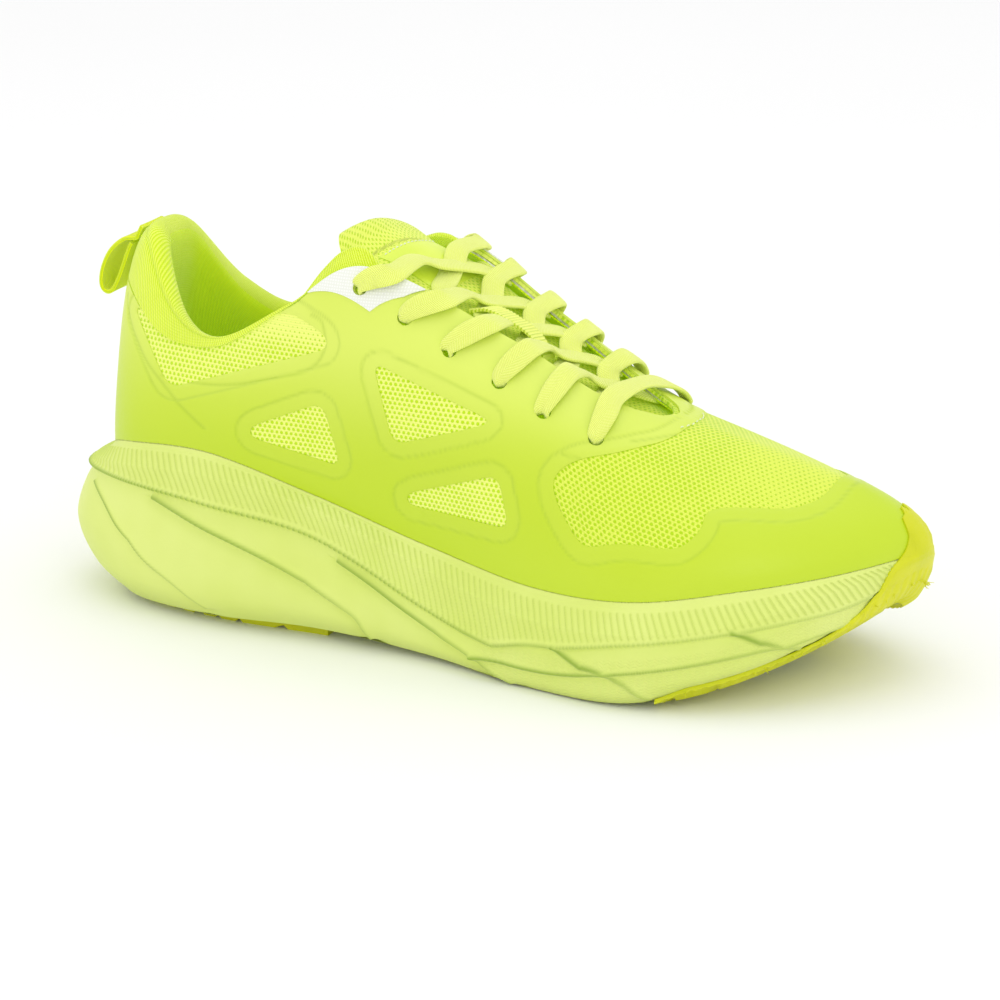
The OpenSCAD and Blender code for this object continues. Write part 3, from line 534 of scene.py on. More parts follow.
def tape_material(name, light, dark, pitch, cross=0.5):
    """Woven tape: ribs along the tape, with fine picks across."""
    g = Graph(name, 0.8, {"Sheen Weight": 0.25, "Specular IOR Level": 0.25, **PAINTED_GLOW})
    across, length, _ = g.attribute("pat")
    rib = g.wave(across, pitch)
    pick = g.wave(length, cross)
    height = g.plus(rib, g.times(pick, 0.25))
    tone = g.blend(g.ramp(height, 0.1, 0.9), srgb(*dark), srgb(*light))
    return g.finish(tone, height, 0.00035, 0.9)


def panel_material():
    """Light grey synthetic with a very fine square weave."""
    g = Graph("eyelet_panel", 0.6, {"Specular IOR Level": 0.4})
    u, v, _ = g.attribute("pat")
    weave = g.times(g.wave(u, 0.9), g.wave(v, 0.9))
    tone = g.blend(g.ramp(weave, 0.1, 0.8), srgb(236, 238, 228), srgb(249, 250, 245))
    return g.finish(tone, weave, 0.0001, 0.6)


def label_material():
    """Smooth welded patch with a soft satin face."""
    g = Graph("plain_label", 0.4, {"Coat Weight": 0.2, "Coat Roughness": 0.35})
    tone = g.blend(g.ramp(g.noise(50, 2), 0.3, 0.8), srgb(226, 243, 84), srgb(216, 237, 64))
    return g.finish(tone, g.noise(700, 2), 0.00006, 0.4)


def board_material(name, light, dark, rough=0.85):
    """Non-woven board or open foam: fibres and pores in a mottled sheet."""
    g = Graph(name, rough, {"Specular IOR Level": 0.25})
    fibre = g.noise(700, 6)
    tone = g.blend(g.ramp(fibre, 0.35, 0.65), srgb(*dark), srgb(*light))
    return g.finish(tone, fibre, 0.0003, 0.8)


def thread_material():
    """Twisted sewing thread."""
    g = Graph("sewing_thread", 0.6, {"Sheen Weight": 0.2})
    tone = g.blend(g.ramp(g.noise(1500, 2), 0.3, 0.7), srgb(222, 232, 190), srgb(240, 244, 214))
    return g.finish(tone, g.noise(2500, 2), 0.0001, 0.6)


MATERIALS = {
    "foam": foam_material(),
    "rubber": rubber_material("neon_rubber", srgb(220, 222, 22), srgb(204, 210, 12)),
    "film": film_material(),
    "mesh": mesh_material("upper_mesh", 1.75, (244, 250, 132), (184, 218, 0)),
    "vamp": mesh_material("vamp_mesh", 1.75, (226, 239, 92), (172, 208, 0)),
    "tongue": mesh_material("tongue_mesh", 1.6, (236, 246, 104), (182, 216, 0), 0.24),
    "knit": knit_material("collar_knit", (236, 248, 96), (200, 224, 20), 1.0, 0.7),
    "lining": knit_material("heel_lining", (236, 255, 0), (196, 228, 0), 0.95, 0.45),
    "lace": lace_material(),
    "keeper": tape_material("ribbed_tape", (242, 248, 124), (196, 216, 50), 1.25),
    "loop": tape_material("loop_tape", (240, 246, 10), (204, 220, 0), 0.8),
    "panel": panel_material(),
    "label": label_material(),
    "board": board_material("strobel_fibre", (236, 236, 226), (206, 206, 190)),
    "padding": board_material("open_foam", (232, 232, 170), (205, 208, 130)),
    "counter": board_material("moulded_counter", (236, 238, 226), (218, 222, 206), 0.5),
    "insole": knit_material("insole_knit", (200, 224, 30), (158, 190, 8), 1.2, 0.0),
    "thread": thread_material(),
}


# ---- making meshes ----
def grid_faces(n, m):
    """Quads of a grid of n columns round and m rows up, facing outwards."""
    i, j = np.meshgrid(np.arange(n - 1), np.arange(m - 1), indexing="ij")
    a = (i * m + j).ravel()
    return np.stack([a, a + 1, a + m + 1, a + m], -1)


def face_list(n, m, turned=False):
    """The same quads as tuples, turned over if asked."""
    step = -1 if turned else 1
    return [tuple(f[::step]) for f in grid_faces(n, m).tolist()]


def write_attribute(mesh, name, values):
    made = mesh.attributes.new(name, "FLOAT_VECTOR", "POINT")
    made.data.foreach_set("vector", np.asarray(values, np.float32).ravel())


def make_piece(name, points, faces, material, slot, body="shoe", nodes=(), pat=None, mark=None, crease=40):
    """A mesh piece from points in millimetres, riding on a body and standing for CAD nodes."""
    mesh = bpy.data.meshes.new(name)
    points = np.asarray(points, float).reshape(-1, 3)
    mesh.from_pydata((points * MM).tolist(), [], [tuple(f) for f in np.asarray(faces, object).tolist()])
    zero = np.zeros((len(points), 3))
    write_attribute(mesh, "pat", zero if pat is None else pat)
    write_attribute(mesh, "mark", zero if mark is None else mark)
    mesh.materials.append(MATERIALS[material])
    mesh.shade_smooth()
    mesh.set_sharp_from_angle(angle=math.radians(crease))
    obj = bpy.data.objects.new(name, mesh)
    bpy.context.scene.collection.objects.link(obj)
    if body:
        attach(obj, body)
    if nodes:
        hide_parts(*nodes)
    return obj


def closed_faces(faces, n):
    """The outer faces, the same faces turned over on the inner points, and a wall along every free edge."""
    directed = set()
    for f in faces:
        directed.update(zip(f, f[1:] + f[:1]))
    walls = [(b, a, a + n, b + n) for a, b in directed if (b, a) not in directed]
    inner = [tuple(k + n for k in reversed(f)) for f in faces]
    return list(faces) + inner + walls


def shell(name, outer, inner, faces, material, slot, pat=None, mark=None, **rest):
    """Closed piece from the faces of its outer points and the matching inner points."""
    points = np.concatenate([outer.reshape(-1, 3), inner.reshape(-1, 3)])
    kept = {"pat": pat, "mark": mark}
    twice = {key: np.concatenate([a, a]) for key, a in kept.items() if a is not None}
    return make_piece(name, points, closed_faces(faces, len(points) // 2), material, slot, **twice, **rest)


def run_length(points):
    """Length along a line of points, from 0 at its start."""
    return np.concatenate([[0], np.cumsum(np.linalg.norm(np.diff(points, axis=0), axis=1))])


def cut(t, s, keep):
    """The part of the grid t, s where keep > 0, trimmed along keep = 0: stations, shares and faces."""
    k = keep.ravel()
    quads = grid_faces(*t.shape)
    inside = k[quads] > 0
    faces = [tuple(q) for q in quads[inside.all(1)].tolist()]
    ts = [t.ravel(), s.ravel()]
    added, index = [], {}
    for q in quads[inside.any(1) & ~inside.all(1)].tolist():
        corners = []
        for a, b in zip(q, q[1:] + q[:1]):
            if k[a] > 0:
                corners.append(a)
            if (k[a] > 0) != (k[b] > 0):
                key = (min(a, b), max(a, b))
                if key not in index:
                    r = k[key[0]] / (k[key[0]] - k[key[1]])
                    index[key] = k.size + len(added)
                    added.append([mix(c[key[0]], c[key[1]], r) for c in ts])
                corners.append(index[key])
        faces.append(tuple(corners))
    all_ts = np.concatenate([np.stack(ts, -1), np.array(added).reshape(-1, 2)])
    used = np.unique(np.concatenate([np.array(f) for f in faces]))
    place = np.full(len(all_ts), -1)
    place[used] = np.arange(len(used))
    return all_ts[used, 0], all_ts[used, 1], [tuple(int(place[i]) for i in f) for f in faces]


def patch(name, t_values, s_low, s_high, rows, depth, material, slot, keep, dress, **rest):
    """Laminated layer over the upper: a closed shell between two depths, with its windows cut out.

    depth is (outer, inner). keep(t, s) is negative in a window. dress(t, s, points) gives the extra
    depth of the outer face, pat and mark.
    """
    t = np.repeat(np.asarray(t_values)[:, None], rows + 1, 1)
    k = np.linspace(0, 1, rows + 1)[None, :]
    high = s_high(t_values) if callable(s_high) else np.full(len(t_values), float(s_high))
    s = mix(s_low, high[:, None], k)
    t1, s1, faces = cut(t, s, keep(t, s))
    sink, pat, mark = dress(t1, s1, upper(t1, s1))
    outer, inner = skin(t1, s1, depth[0] + sink), skin(t1, s1, depth[1])
    return shell(name, outer, inner, faces, material, slot, pat=pat, mark=mark, **rest)


# Beyond this distance from a line nothing is worked out, in millimetres
FAR = 8.0


def nearest(points, target):
    """Distance from each point to the nearest target point, in millimetres. Beyond FAR it is just large."""
    tree = KDTree(len(target))
    for i, p in enumerate(target.tolist()):
        tree.insert(p, i)
    tree.balance()
    close = np.all((points > target.min(0) - FAR) & (points < target.max(0) + FAR), 1)
    far = np.full(len(points), 1e3)
    far[close] = [tree.find(p)[2] for p in points[close].tolist()]
    return far


def polygon_distance(outline, q):
    """Signed distance from points q to a closed outline, negative inside."""
    outline = np.asarray(outline, float)
    best = np.full(q.shape[:-1], 1e9)
    odd = np.zeros(q.shape[:-1], bool)
    for a, b in zip(outline, np.roll(outline, -1, 0)):
        d, r = b - a, q - a
        k = np.clip((r @ d) / (d @ d), 0, 1)
        best = np.minimum(best, np.linalg.norm(r - k[..., None] * d, axis=-1))
        crosses = (a[1] > q[..., 1]) != (b[1] > q[..., 1])
        rise = np.where(d[1] == 0, 1e-9, d[1])
        odd ^= crosses & (q[..., 0] < a[0] + d[0] * (q[..., 1] - a[1]) / rise)
    return np.where(odd, -best, best)


def softened(outline, r):
    """The outline with every corner turned into a smooth bend that starts r before it."""
    p = np.asarray(outline, float)
    bend = []
    for a, b, c in zip(np.roll(p, 1, 0), p, np.roll(p, -1, 0)):
        start = b + unit(a - b) * min(r, 0.45 * np.linalg.norm(a - b))
        end = b + unit(c - b) * min(r, 0.45 * np.linalg.norm(c - b))
        bend += [mix(mix(start, b, k), mix(b, end, k), k) for k in np.linspace(0, 1, 6)]
    return np.array(bend)


def rounded_distance(outline, q, r):
    """Signed distance to the outline with its corners bent over a length r."""
    return polygon_distance(softened(outline, r), q)


def line_on(surface, knots, count=240):
    """Dense points on a surface along a smooth line through [a, b] knots."""
    p = along(knots, np.linspace(0, len(knots) - 1, count))
    return surface(p[:, 0], p[:, 1])


STITCH_SIDES, STITCH_RINGS = 8, 7


def capsule(center, direction, normal, length, radius):
    """One stitch: a bent capsule lying on the surface."""
    d, n = unit(direction), unit(normal)
    side = np.cross(d, n)
    rings = []
    for k in np.linspace(-1, 1, STITCH_RINGS):
        r = radius * math.sqrt(max(1 - abs(k) ** 3, 0.02))
        lift = radius * (0.5 - k * k)
        for a in np.linspace(0, 2 * math.pi, STITCH_SIDES, endpoint=False):
            rings.append(center + d * k * length / 2 + n * (lift + r * math.sin(a)) + side * r * math.cos(a))
    return rings


def tube_faces(start, rings, sides):
    """Faces of a closed tube whose rings of points begin at index start."""
    faces = []
    for r in range(rings - 1):
        for k in range(sides):
            a, b = start + r * sides + k, start + r * sides + (k + 1) % sides
            faces.append((a, b, b + sides, a + sides))
    faces.append(tuple(start + k for k in reversed(range(sides))))
    faces.append(tuple(start + (rings - 1) * sides + k for k in range(sides)))
    return faces


def stitch_row(name, points, normals, length, radius):
    """A row of thread stitches centred on points."""
    verts, faces = [], []
    points = np.asarray(points, float)
    for p, d, n in zip(points, np.gradient(points, axis=0), normals):
        faces += tube_faces(len(verts), STITCH_RINGS, STITCH_SIDES)
        verts.extend(capsule(p, d, n, length, radius))
    return make_piece(name, verts, faces, "thread", "lace")


def spaced(points, pitch):
    """Points at even spacing along a dense line."""
    reach = run_length(points)
    count = max(int(reach[-1] / pitch), 2)
    want = (np.arange(count) + 0.5) * reach[-1] / count
    return np.stack([np.interp(want, reach, points[:, k]) for k in range(3)], -1)


# ---- sole ----
# Creases pressed into the side of the foam, each [station, share of the side], on the lateral side
RIM_GROOVE = [[-1.35, 2.3], [0, 2.35], [1.35, 2.3], [1.9, 2.2], [2.5, 2.02], [3.3, 1.88], [4.06, 1.82],
    [4.7, 1.84], [5.3, 1.75], [5.6, 1.9], [6, 2.35], [6.4, 2.5], [6.95, 2.68], [7.6, 2.75],
    [8.05, 2.68], [8.45, 2.48], [8.9, 2.16], [9.3, 2.02]]
HEEL_CREASE = [[1.5, 1.75], [1.8, 1.5], [2.1, 1.14], [2.36, 0.85], [2.7, 0.58], [2.97, 0.22]]
LONG_CREASE = [[2.5, 1.8], [2.9, 1.56], [3.3, 1.38], [3.65, 1.2], [4, 0.97], [4.28, 0.78], [4.42, 0.62],
    [4.5, 0.2]]
WAIST_CREASE = [[4.25, 1.6], [4.6, 1.48], [4.93, 1.24], [5.2, 0.95], [5.5, 0.74], [5.7, 0.4], [5.85, 0.15]]
FORE_CREASE = [[5.5, 0.74], [5.75, 0.95], [6.05, 1.15], [6.5, 1.4], [6.9, 1.55], [7.6, 1.63], [8.15, 1.52],
    [8.5, 1.2], [8.85, 0.92], [9.3, 0.66]]
CROSS_CUTS = [[[6.3, 2.45], [6.55, 2.05], [6.8, 1.55], [7.06, 0.8], [7.2, 0.3]],
    [[7.95, 2.75], [8.15, 2.2], [8.38, 1.4], [8.6, 0.6]]]
RIB_PITCH = 2.4


def mirrored(line):
    """A lateral line of [station, share] on the medial side."""
    return [[20 - t, w] for t, w in line]


def round_length(t):
    """Distance round the rim, in millimetres, at stations t."""
    dense = np.linspace(-10, 30, 4001)
    p = row(RIM, dense)
    reach = run_length(p)
    return np.interp(t, dense, reach - np.interp(0, dense, reach))


def lateral(t):
    """The station on the lateral side that matches t on either side."""
    return 10 - np.abs(np.mod(t, 20) - 10)


def rib_share(t, w):
    """1 in the cut of a rim rib. The ribs run from just above the long groove to just under the lip."""
    side = lateral(t)
    groove = np.interp(side, *np.array(RIM_GROOVE).T)
    slope = 0.3 + 1.5 * smooth((side - 1) / 1.5)
    phase = round_length(side) / RIB_PITCH + (w - 3) * slope
    within = smooth((w - groove - 0.1) / 0.12) * smooth((3.72 - w) / 0.1)
    return smooth((np.cos(2 * math.pi * phase) - 0.5) / 0.45) * within


def sole_normal(t, w):
    step_t, step_w = 0.01, 0.02
    dt = sole_side(t + step_t, w) - sole_side(t - step_t, w)
    dw = sole_side(t, np.minimum(w + step_w, 3.99)) - sole_side(t, np.maximum(w - step_w, 0))
    return unit(np.cross(dt, -dw))


# Creases with how deep and wide they are cut and how far the foam below them stands proud, in millimetres
CREASES = [(RIM_GROOVE, 1.7, 1.0, 0.7), (FORE_CREASE, 1.4, 0.9, 0.5), (HEEL_CREASE, 1.0, 0.8, 0.6),
    (LONG_CREASE, 2.3, 1.1, 1.1), (WAIST_CREASE, 2.0, 1.0, 1.0), (CROSS_CUTS[0], 1.2, 1.3, 0.3),
    (CROSS_CUTS[1], 1.2, 1.3, 0.3)]


CREASE_STEPS = 260


def crease_field(points, w, line):
    """Distance to a crease, how far along it the nearest place is (0 to 1), and the height above it."""
    knots = along(line, np.linspace(0, len(line) - 1, CREASE_STEPS))
    target = sole_side(knots[:, 0], knots[:, 1])
    far, where, above = np.full(len(points), 1e3), np.zeros(len(points)), np.zeros(len(points))
    close = np.nonzero(np.all((points > target.min(0) - FAR) & (points < target.max(0) + FAR), 1))[0]
    for part in np.array_split(close, max(len(close) // 15000, 1)):
        gap = np.sum(points[part] ** 2, 1)[:, None] - 2 * points[part] @ target.T + np.sum(target ** 2, 1)
        k = np.argmin(gap, 1)
        far[part] = np.sqrt(np.maximum(gap[np.arange(len(part)), k], 0))
        where[part], above[part] = k / (CREASE_STEPS - 1), w[part] - knots[k, 1]
    return far, where, above


def midsole_side(t_low, t_high, columns):
    """One flank of the foam from the ground edge to the bite line, with its creases and rim ribs."""
    t_values = np.linspace(t_low, t_high, columns)
    w_values = np.concatenate([np.linspace(0, 1.95, 76), np.linspace(1.98, 2.9, 34),
                               np.linspace(2.93, 3.99, 38)])
    t, w = np.meshgrid(t_values, w_values, indexing="ij")
    p, n = sole_side(t, w), sole_normal(t, w)
    flat, high = p.reshape(-1, 3), w.ravel()
    deep, crease = np.zeros(len(flat)), np.zeros(len(flat))
    for line, depth, wide, proud in CREASES:
        part = line if t_low < 9.9 else mirrored(line)
        far, where, above = crease_field(flat, high, part)
        fade = 0.45 + 0.55 * smooth((0.85 - where) / 0.6)
        lip = np.exp(-(far / 4.2) ** 2) * np.where(above < 0, -proud, 0.35 * proud) * smooth(far / wide - 0.3)
        trough = np.exp(-(far / wide) ** 2)
        deep = deep + (depth * trough * fade + lip) * (far < FAR)
        # The crease share is painted shade: how dark each crease is painted
        crease = np.maximum(crease, np.exp(-(far / (0.7 * wide)) ** 2) * fade)
    rib = rib_share(t, w).ravel()
    lip_top = smooth((high - 3.72) / 0.12)
    moved = flat - col(deep + 0.45 * rib - 0.25 * lip_top) * n.reshape(-1, 3)
    zigzag = smooth((lateral(t.ravel()) - 5.4) / 0.3) * smooth((2.3 - high) / 0.2)
    pat = np.stack([round_length(t.ravel()), flat[:, 2], zigzag], -1)
    # mark is painted shade for the foam: in the creases, in the rib cuts and towards the ground edge
    mark = np.stack([crease * 0.8, rib, smooth((1.2 - high) / 1.2) * 0.4], -1)
    return moved, grid_faces(*t.shape), pat, mark


def make_midsole():
    """Foam midsole: four flanks, a bed and a ground face that meet edge to edge."""
    for k, name in enumerate(("heel_lateral", "toe_lateral", "toe_medial", "heel_medial")):
        p, faces, pat, mark = midsole_side(5 * k, 5 * k + 5, 600)
        make_piece("midsole_" + name, p, faces, "foam", "foam", nodes=["midsole"], pat=pat, mark=mark,
                   crease=60)
    t = np.linspace(0, 20, 241)[:-1]
    make_disc("midsole_bed", [row_at(t, BITE, 0), bed_ring(t, 0), bed_ring(t, 12)], "foam", "foam")
    under = [ground(t, at(EDGE, t)[:, 0] + d, RUBBER_T + GAP) for d in (12, 5)]
    make_disc("midsole_ground", under + [edge(t)], "foam", "foam", down=True)


def row_at(t, table, extra):
    v = at(table, t)
    return inset(t, v[:, 0] + extra, v[:, 1])


def bed_ring(t, extra):
    return bed_point(t, at(BITE, t)[:, 0] + BED_INSET + extra, np.full(len(t), -0.05))


def disc_faces(rings, n, down):
    """Bands between rings, and rungs across the innermost one."""
    faces = []
    for r in range(rings - 1):
        for i in range(n):
            a, b = r * n + i, r * n + (i + 1) % n
            faces.append((a, b, b + n, a + n))
    inner = (rings - 1) * n
    for i in range(n // 2):
        rung = [inner + i, inner + i + 1, inner + (n - i - 1) % n, inner + (n - i) % n]
        faces.append(tuple(dict.fromkeys(rung)))
    faces = [f for f in faces if len(f) > 2]
    return [tuple(reversed(f)) for f in faces] if down else faces


def make_disc(name, rings, material, slot, down=False, **rest):
    """Face filled in from its outer ring to its innermost one, or the other way up if down."""
    if down:
        rings = rings[::-1]
    n = len(rings[0])
    points = np.concatenate(rings)
    return make_piece(name, points, disc_faces(len(rings), n, down), material, slot, pat=points, **rest)


# Rubber pods: from station, to station, y of the inner edge, x of the straight grooves
PODS = {"forefoot_lateral": (5.3, 6.78, -9, [2, 18, 34, 50]),
    "forefoot_medial": (13.22, 14.8, 9, [24, 40, 54]),
    "heel_lateral": (0.55, 4, -7, [-110, -94, -78, -62]),
    "heel_medial": (16, 19.45, 7, [-110, -94, -78, -62])}
POD_INSET = 6
POD_COLUMNS, POD_ROWS = 90, 34
CHEVRON_X, CHEVRON_PITCH = 8, 9


def pod(place, t0, t1, inner_y, grooves):
    """Rubber pod: a plate that follows the sole's edge, with straight and zigzag grooves across."""
    u = np.linspace(t0, t1, POD_COLUMNS)
    rim = inset(u, at(EDGE, u)[:, 0] + POD_INSET, np.zeros(POD_COLUMNS))
    inner = rim.copy()
    inner[:, 1] = inner_y
    top = mix(rim[:, None], inner[:, None], np.linspace(0, 1, POD_ROWS)[None, :, None])
    away = top[..., 0, None] - np.asarray(grooves, float)
    zigzag = np.abs(np.mod(top[..., 1], CHEVRON_PITCH) - CHEVRON_PITCH / 2) * 0.35
    near = np.minimum(np.min(np.abs(away), -1), np.min(np.abs(away - CHEVRON_X) + zigzag[..., None], -1))
    bottom = top.copy()
    bottom[..., 2] = TREAD_D * smooth((1.3 - near) / 0.5)
    top[..., 2] = RUBBER_T - 0.02
    area, side = place.split("_")
    faces = face_list(POD_COLUMNS, POD_ROWS, inner_y < 0)
    shell(area + "_pod_" + side, bottom, top, faces, "rubber", "rubber", nodes=["outsole_" + place], crease=35)
    return rim


FLOOR_CLEAR = 0.35
WHISKER_SIDES, WHISKER_RINGS, WHISKER_R = 5, 5, 0.24


def whiskers(name, points, outs, count, node):
    """Thin flash whiskers left on the edge of the moulded rubber."""
    verts, faces = [], []
    for i in rng.choice(len(points), count, replace=False):
        root, out = points[i], unit(outs[i] + rng.normal(0, 0.5, 3))
        length, side = rng.uniform(1.2, 2.6), unit(np.cross(out, [0, 0, 1.0]))
        bend = rng.normal(0, 0.5, 3)
        faces += tube_faces(len(verts), WHISKER_RINGS, WHISKER_SIDES)
        for u in np.linspace(0, 1, WHISKER_RINGS):
            c = root + out * length * u + bend * u * u
            c[2] = max(c[2], FLOOR_CLEAR)
            r = WHISKER_R * (1 - 0.75 * u)
            for turn in np.linspace(0, 2 * math.pi, WHISKER_SIDES, endpoint=False):
                verts.append(c + (side * math.cos(turn) + np.cross(out, side) * math.sin(turn)) * r)
    return make_piece(name, verts, faces, "rubber", "rubber", nodes=[node])


# How far the rubber climbs at each station round the toe: 0 is the ground edge, 4 the bite line
TOE_CLIMB = [[7.2, 0.12], [8.4, 0.2], [8.8, 0.45], [9.2, 1], [9.4, 1.9], [9.52, 3.2], [9.62, 4],
    [9.85, 4.3], [10.15, 4.45], [10.6, 4.4], [10.9, 4], [11.1, 2.2], [11.4, 1], [11.8, 0.4], [12.8, 0.12]]


def toe_reach(t):
    return np.interp(t, *np.array(TOE_CLIMB).T)


def toe_side(t, w, d):
    """The toe rubber's face at height w and distance d off the foam or the upper."""
    t, w = np.broadcast_arrays(t, w)
    a = np.radians(90 * np.clip(w + 0.3, 0, 1))
    r = inward(t)
    off = np.stack([-r[..., 0] * np.sin(a), -r[..., 1] * np.sin(a), -np.cos(a)], -1)
    d = np.broadcast_to(d, t.shape)
    low = sole_side(t, np.clip(w, 0, 4)) + off * col(d)
    high = skin(t, np.maximum(w - 4, 0) * 0.6, -d)
    return np.where(col(w) >= 4, high, low)


def outsole_toe():
    """Toe rubber: a pod under the toe whose ragged lip wraps up over the bumper."""
    under, columns, rows_up, rows_under = 24, 260, 40, 16
    t = np.linspace(7.25, 12.75, columns)
    ragged = 0.035 * np.interp(np.arange(columns), np.arange(0, columns, 5), rng.normal(0, 1, columns // 5))
    reach = toe_reach(t) + ragged * smooth((1.3 - np.abs(t - 10.1)) / 0.3)
    w = reach[:, None] * np.linspace(0, 1, rows_up)[None, :]
    tt = np.repeat(t[:, None], rows_up, 1)
    ribs = 0.35 * smooth((np.cos(round_length(tt) * 2 * math.pi / 4.2) - 0.1) / 0.5) * smooth((2.2 - w) / 0.5)

    def grid(d, tread):
        k = np.linspace(1, 0.04, rows_under)
        d0 = at(EDGE, t)[:, 0][:, None] + under * k[None, :]
        flat = ground(np.repeat(t[:, None], rows_under, 1), d0, np.full((columns, rows_under), RUBBER_T - d))
        groove = TREAD_D * smooth((np.cos(flat[..., 0] * 2 * math.pi / 12) - 0.75) / 0.15)
        flat[..., 2] += groove * tread
        taper = 1 - (0.45 + 0.35 * smooth((w / reach[:, None] - 0.85) / 0.15)) * tread
        rim = smooth((0.3 - k) / 0.3) * 0.45 * RUBBER_T * tread
        flat[..., 2] += rim[None, :]
        up = toe_side(tt, w, (d * taper + GAP / 2) - ribs * tread)
        return np.concatenate([flat, up], 1)
    shell("toe_rubber", grid(RUBBER_T, 1.0), grid(0, 0.0), face_list(columns, rows_under + rows_up), "rubber",
          "rubber", nodes=["outsole_toe"], crease=50)
    flash_line = toe_side(t, np.minimum(1.1, reach), RUBBER_T * 0.5)
    outs = np.concatenate([-inward(t), np.full((columns, 1), -0.5)], 1)
    near_toe = np.abs(t - 10.1) < 1.2
    whiskers("toe_whiskers", flash_line[near_toe], outs[near_toe], 22, "outsole_toe")
    below = (t > 7.4) & (t < 9)
    whiskers("toe_edge_whiskers", flash_line[below], outs[below], 7, "outsole_toe")


def make_outsole():
    """Four pods with their whiskers of flash, and the toe rubber."""
    rims = {place: pod(place, *sizes) for place, sizes in PODS.items()}
    for place, rim in rims.items():
        node = "outsole_" + place
        whiskers(node + "_whiskers", rim + [0, 0, 1.2], unit(rim - rim.mean(0)), 8, node)
    outsole_toe()


def make_insole():
    """Sock liner: a knitted top with a raised rim over a foam pad."""
    t = np.linspace(0, 20, 241)[:-1]
    z = STROBEL_T + 0.15 + INSOLE_T

    def ring(extra, h):
        return bed_point(t, at(BITE, t)[:, 0] + BED_INSET + extra, np.full(len(t), h))
    rings = [ring(5.3, z + 0.2), ring(5.1, z + 1.5), ring(5.3, z + 2.1), ring(6.2, z + 1.7),
             ring(8, z + 0.75), ring(14, z + 0.5), ring(20, z + 0.45)]
    make_disc("insole_top", rings, "insole", "insole_fabric", body="insole", nodes=["insole_cover"])
    rings = [ring(5, STROBEL_T + 0.12), ring(4.9, STROBEL_T + 2), ring(5.2, z - 0.2)]
    make_disc("insole_pad", rings, "padding", "insole", body="insole", nodes=["insole_foam"])


# ---- upper ----
def film_windows(p, collar_outline):
    """Signed distance to the openings in the film: negative inside one."""
    side_view, top_view = p[..., [0, 2]], p[..., [0, 1]]
    best = np.full(p.shape[:-1], 1e3)
    for outline in SIDE_WINDOWS + [collar_outline]:
        best = np.minimum(best, rounded_distance(outline, side_view, 5))
    vamp = rounded_distance(VAMP_WINDOW, top_view, 6)
    return np.minimum(best, np.where(p[..., 2] > 45, vamp, 1e3))


# Embossed lines on the film, each [station, share of the height], on the lateral side
HEEL_SEAM = [[1.1, 0.63], [1.3, 0.59], [1.8, 0.57], [2.3, 0.5], [2.65, 0.36], [2.95, 0.2]]
QUARTER_FOLD = [[2.3, 0.54], [2.9, 0.57], [3.6, 0.6], [4.15, 0.63], [4.4, 0.7], [4.42, 0.8],
    [4.3, 0.86]]
EYESTAY_FRONT = [[9.99, 0.8], [9.2, 0.78], [8.4, 0.75], [7.7, 0.7], [7.0, 0.63], [6.45, 0.6]]
THROAT_RING = [[9.99, 0.92], [9.2, 0.91], [8.4, 0.87], [7.8, 0.82], [7.3, 0.77]]


def film_dress(line_list, windows):
    """Relief of the film: a lip round each window, a thin step outside it, and embossed lines."""
    def dress(t, s, p):
        keep = windows(p)
        grid_t, grid_s = np.meshgrid(np.linspace(t.min(), t.max(), 700), np.linspace(-0.2, 1, 260),
                                     indexing="ij")
        grid_p = upper(grid_t, grid_s)
        near_edge = grid_p[np.abs(windows(grid_p)) < 0.35]
        far = nearest(p, near_edge)
        band = 1 - smooth((far - 4.5) / 0.5)
        lip = smooth((0.7 - far) / 0.7)
        groove = np.zeros(len(p))
        for line in line_list:
            d = nearest(p, line_on(upper, line, 300))
            groove = np.maximum(groove, np.exp(-(d / 0.5) ** 2))
        ring = np.exp(-((far - 4.7) / 0.45) ** 2)
        sink = 0.3 * band + 0.3 * lip ** 2 + 0.25 * groove + 0.12 * ring
        # Painted sheen: paler higher up and towards the top line, where the film faces the overhead light; the
        # first mark is painted shade in the embossed lines and the step ring
        painted_sheen = smooth((p[:, 2] - 48) / 62) * 0.75 + 0.25 * smooth((s - 0.5) / 0.4)
        mark = np.stack([np.maximum(groove * 0.35, ring * 0.3), band, painted_sheen], -1)
        return np.minimum(sink, FILM_T - 0.2), np.stack([round_length(t), p[:, 2], keep], -1), mark
    return dress


def film_top(t):
    """Upper edge of the film: the collar seam, then just under the top line."""
    return np.minimum(at(COLLAR_SEAM, t)[:, 0], 1) - 0.01


def make_film(name, t_low, t_high, collar_outline, nodes):
    """One half of the welded film, from heel to toe."""
    def windows(p):
        return film_windows(p, collar_outline)

    lateral = t_low < 5
    holes = hole_distance(HOLES_LATERAL if lateral else HOLES_MEDIAL)

    def keep(t, s):
        side = np.abs(np.mod(t, 20) - 10)
        under = np.where((side < 2.48) & (s > 0.985), -1.0, 1.0)
        return np.minimum(np.minimum(windows(upper(t, s)), holes(t, s)), under)
    lines = [HEEL_SEAM, QUARTER_FOLD, EYESTAY_FRONT, THROAT_RING]
    lines = lines if lateral else [mirrored(line) for line in lines]
    patch(name, np.linspace(t_low, t_high, 430), -0.12, film_top, 88, FILM_D, "film", "film", keep,
          film_dress(lines, windows), nodes=nodes)


COLLAR_WINDOW_MEDIAL = [[-118, 94], [-108, 90], [-96, 86.5], [-81, 90], [-66, 99], [-55, 105], [-46, 102],
    [-44, 98], [-47, 94], [-57, 89], [-74, 82], [-98, 74]]


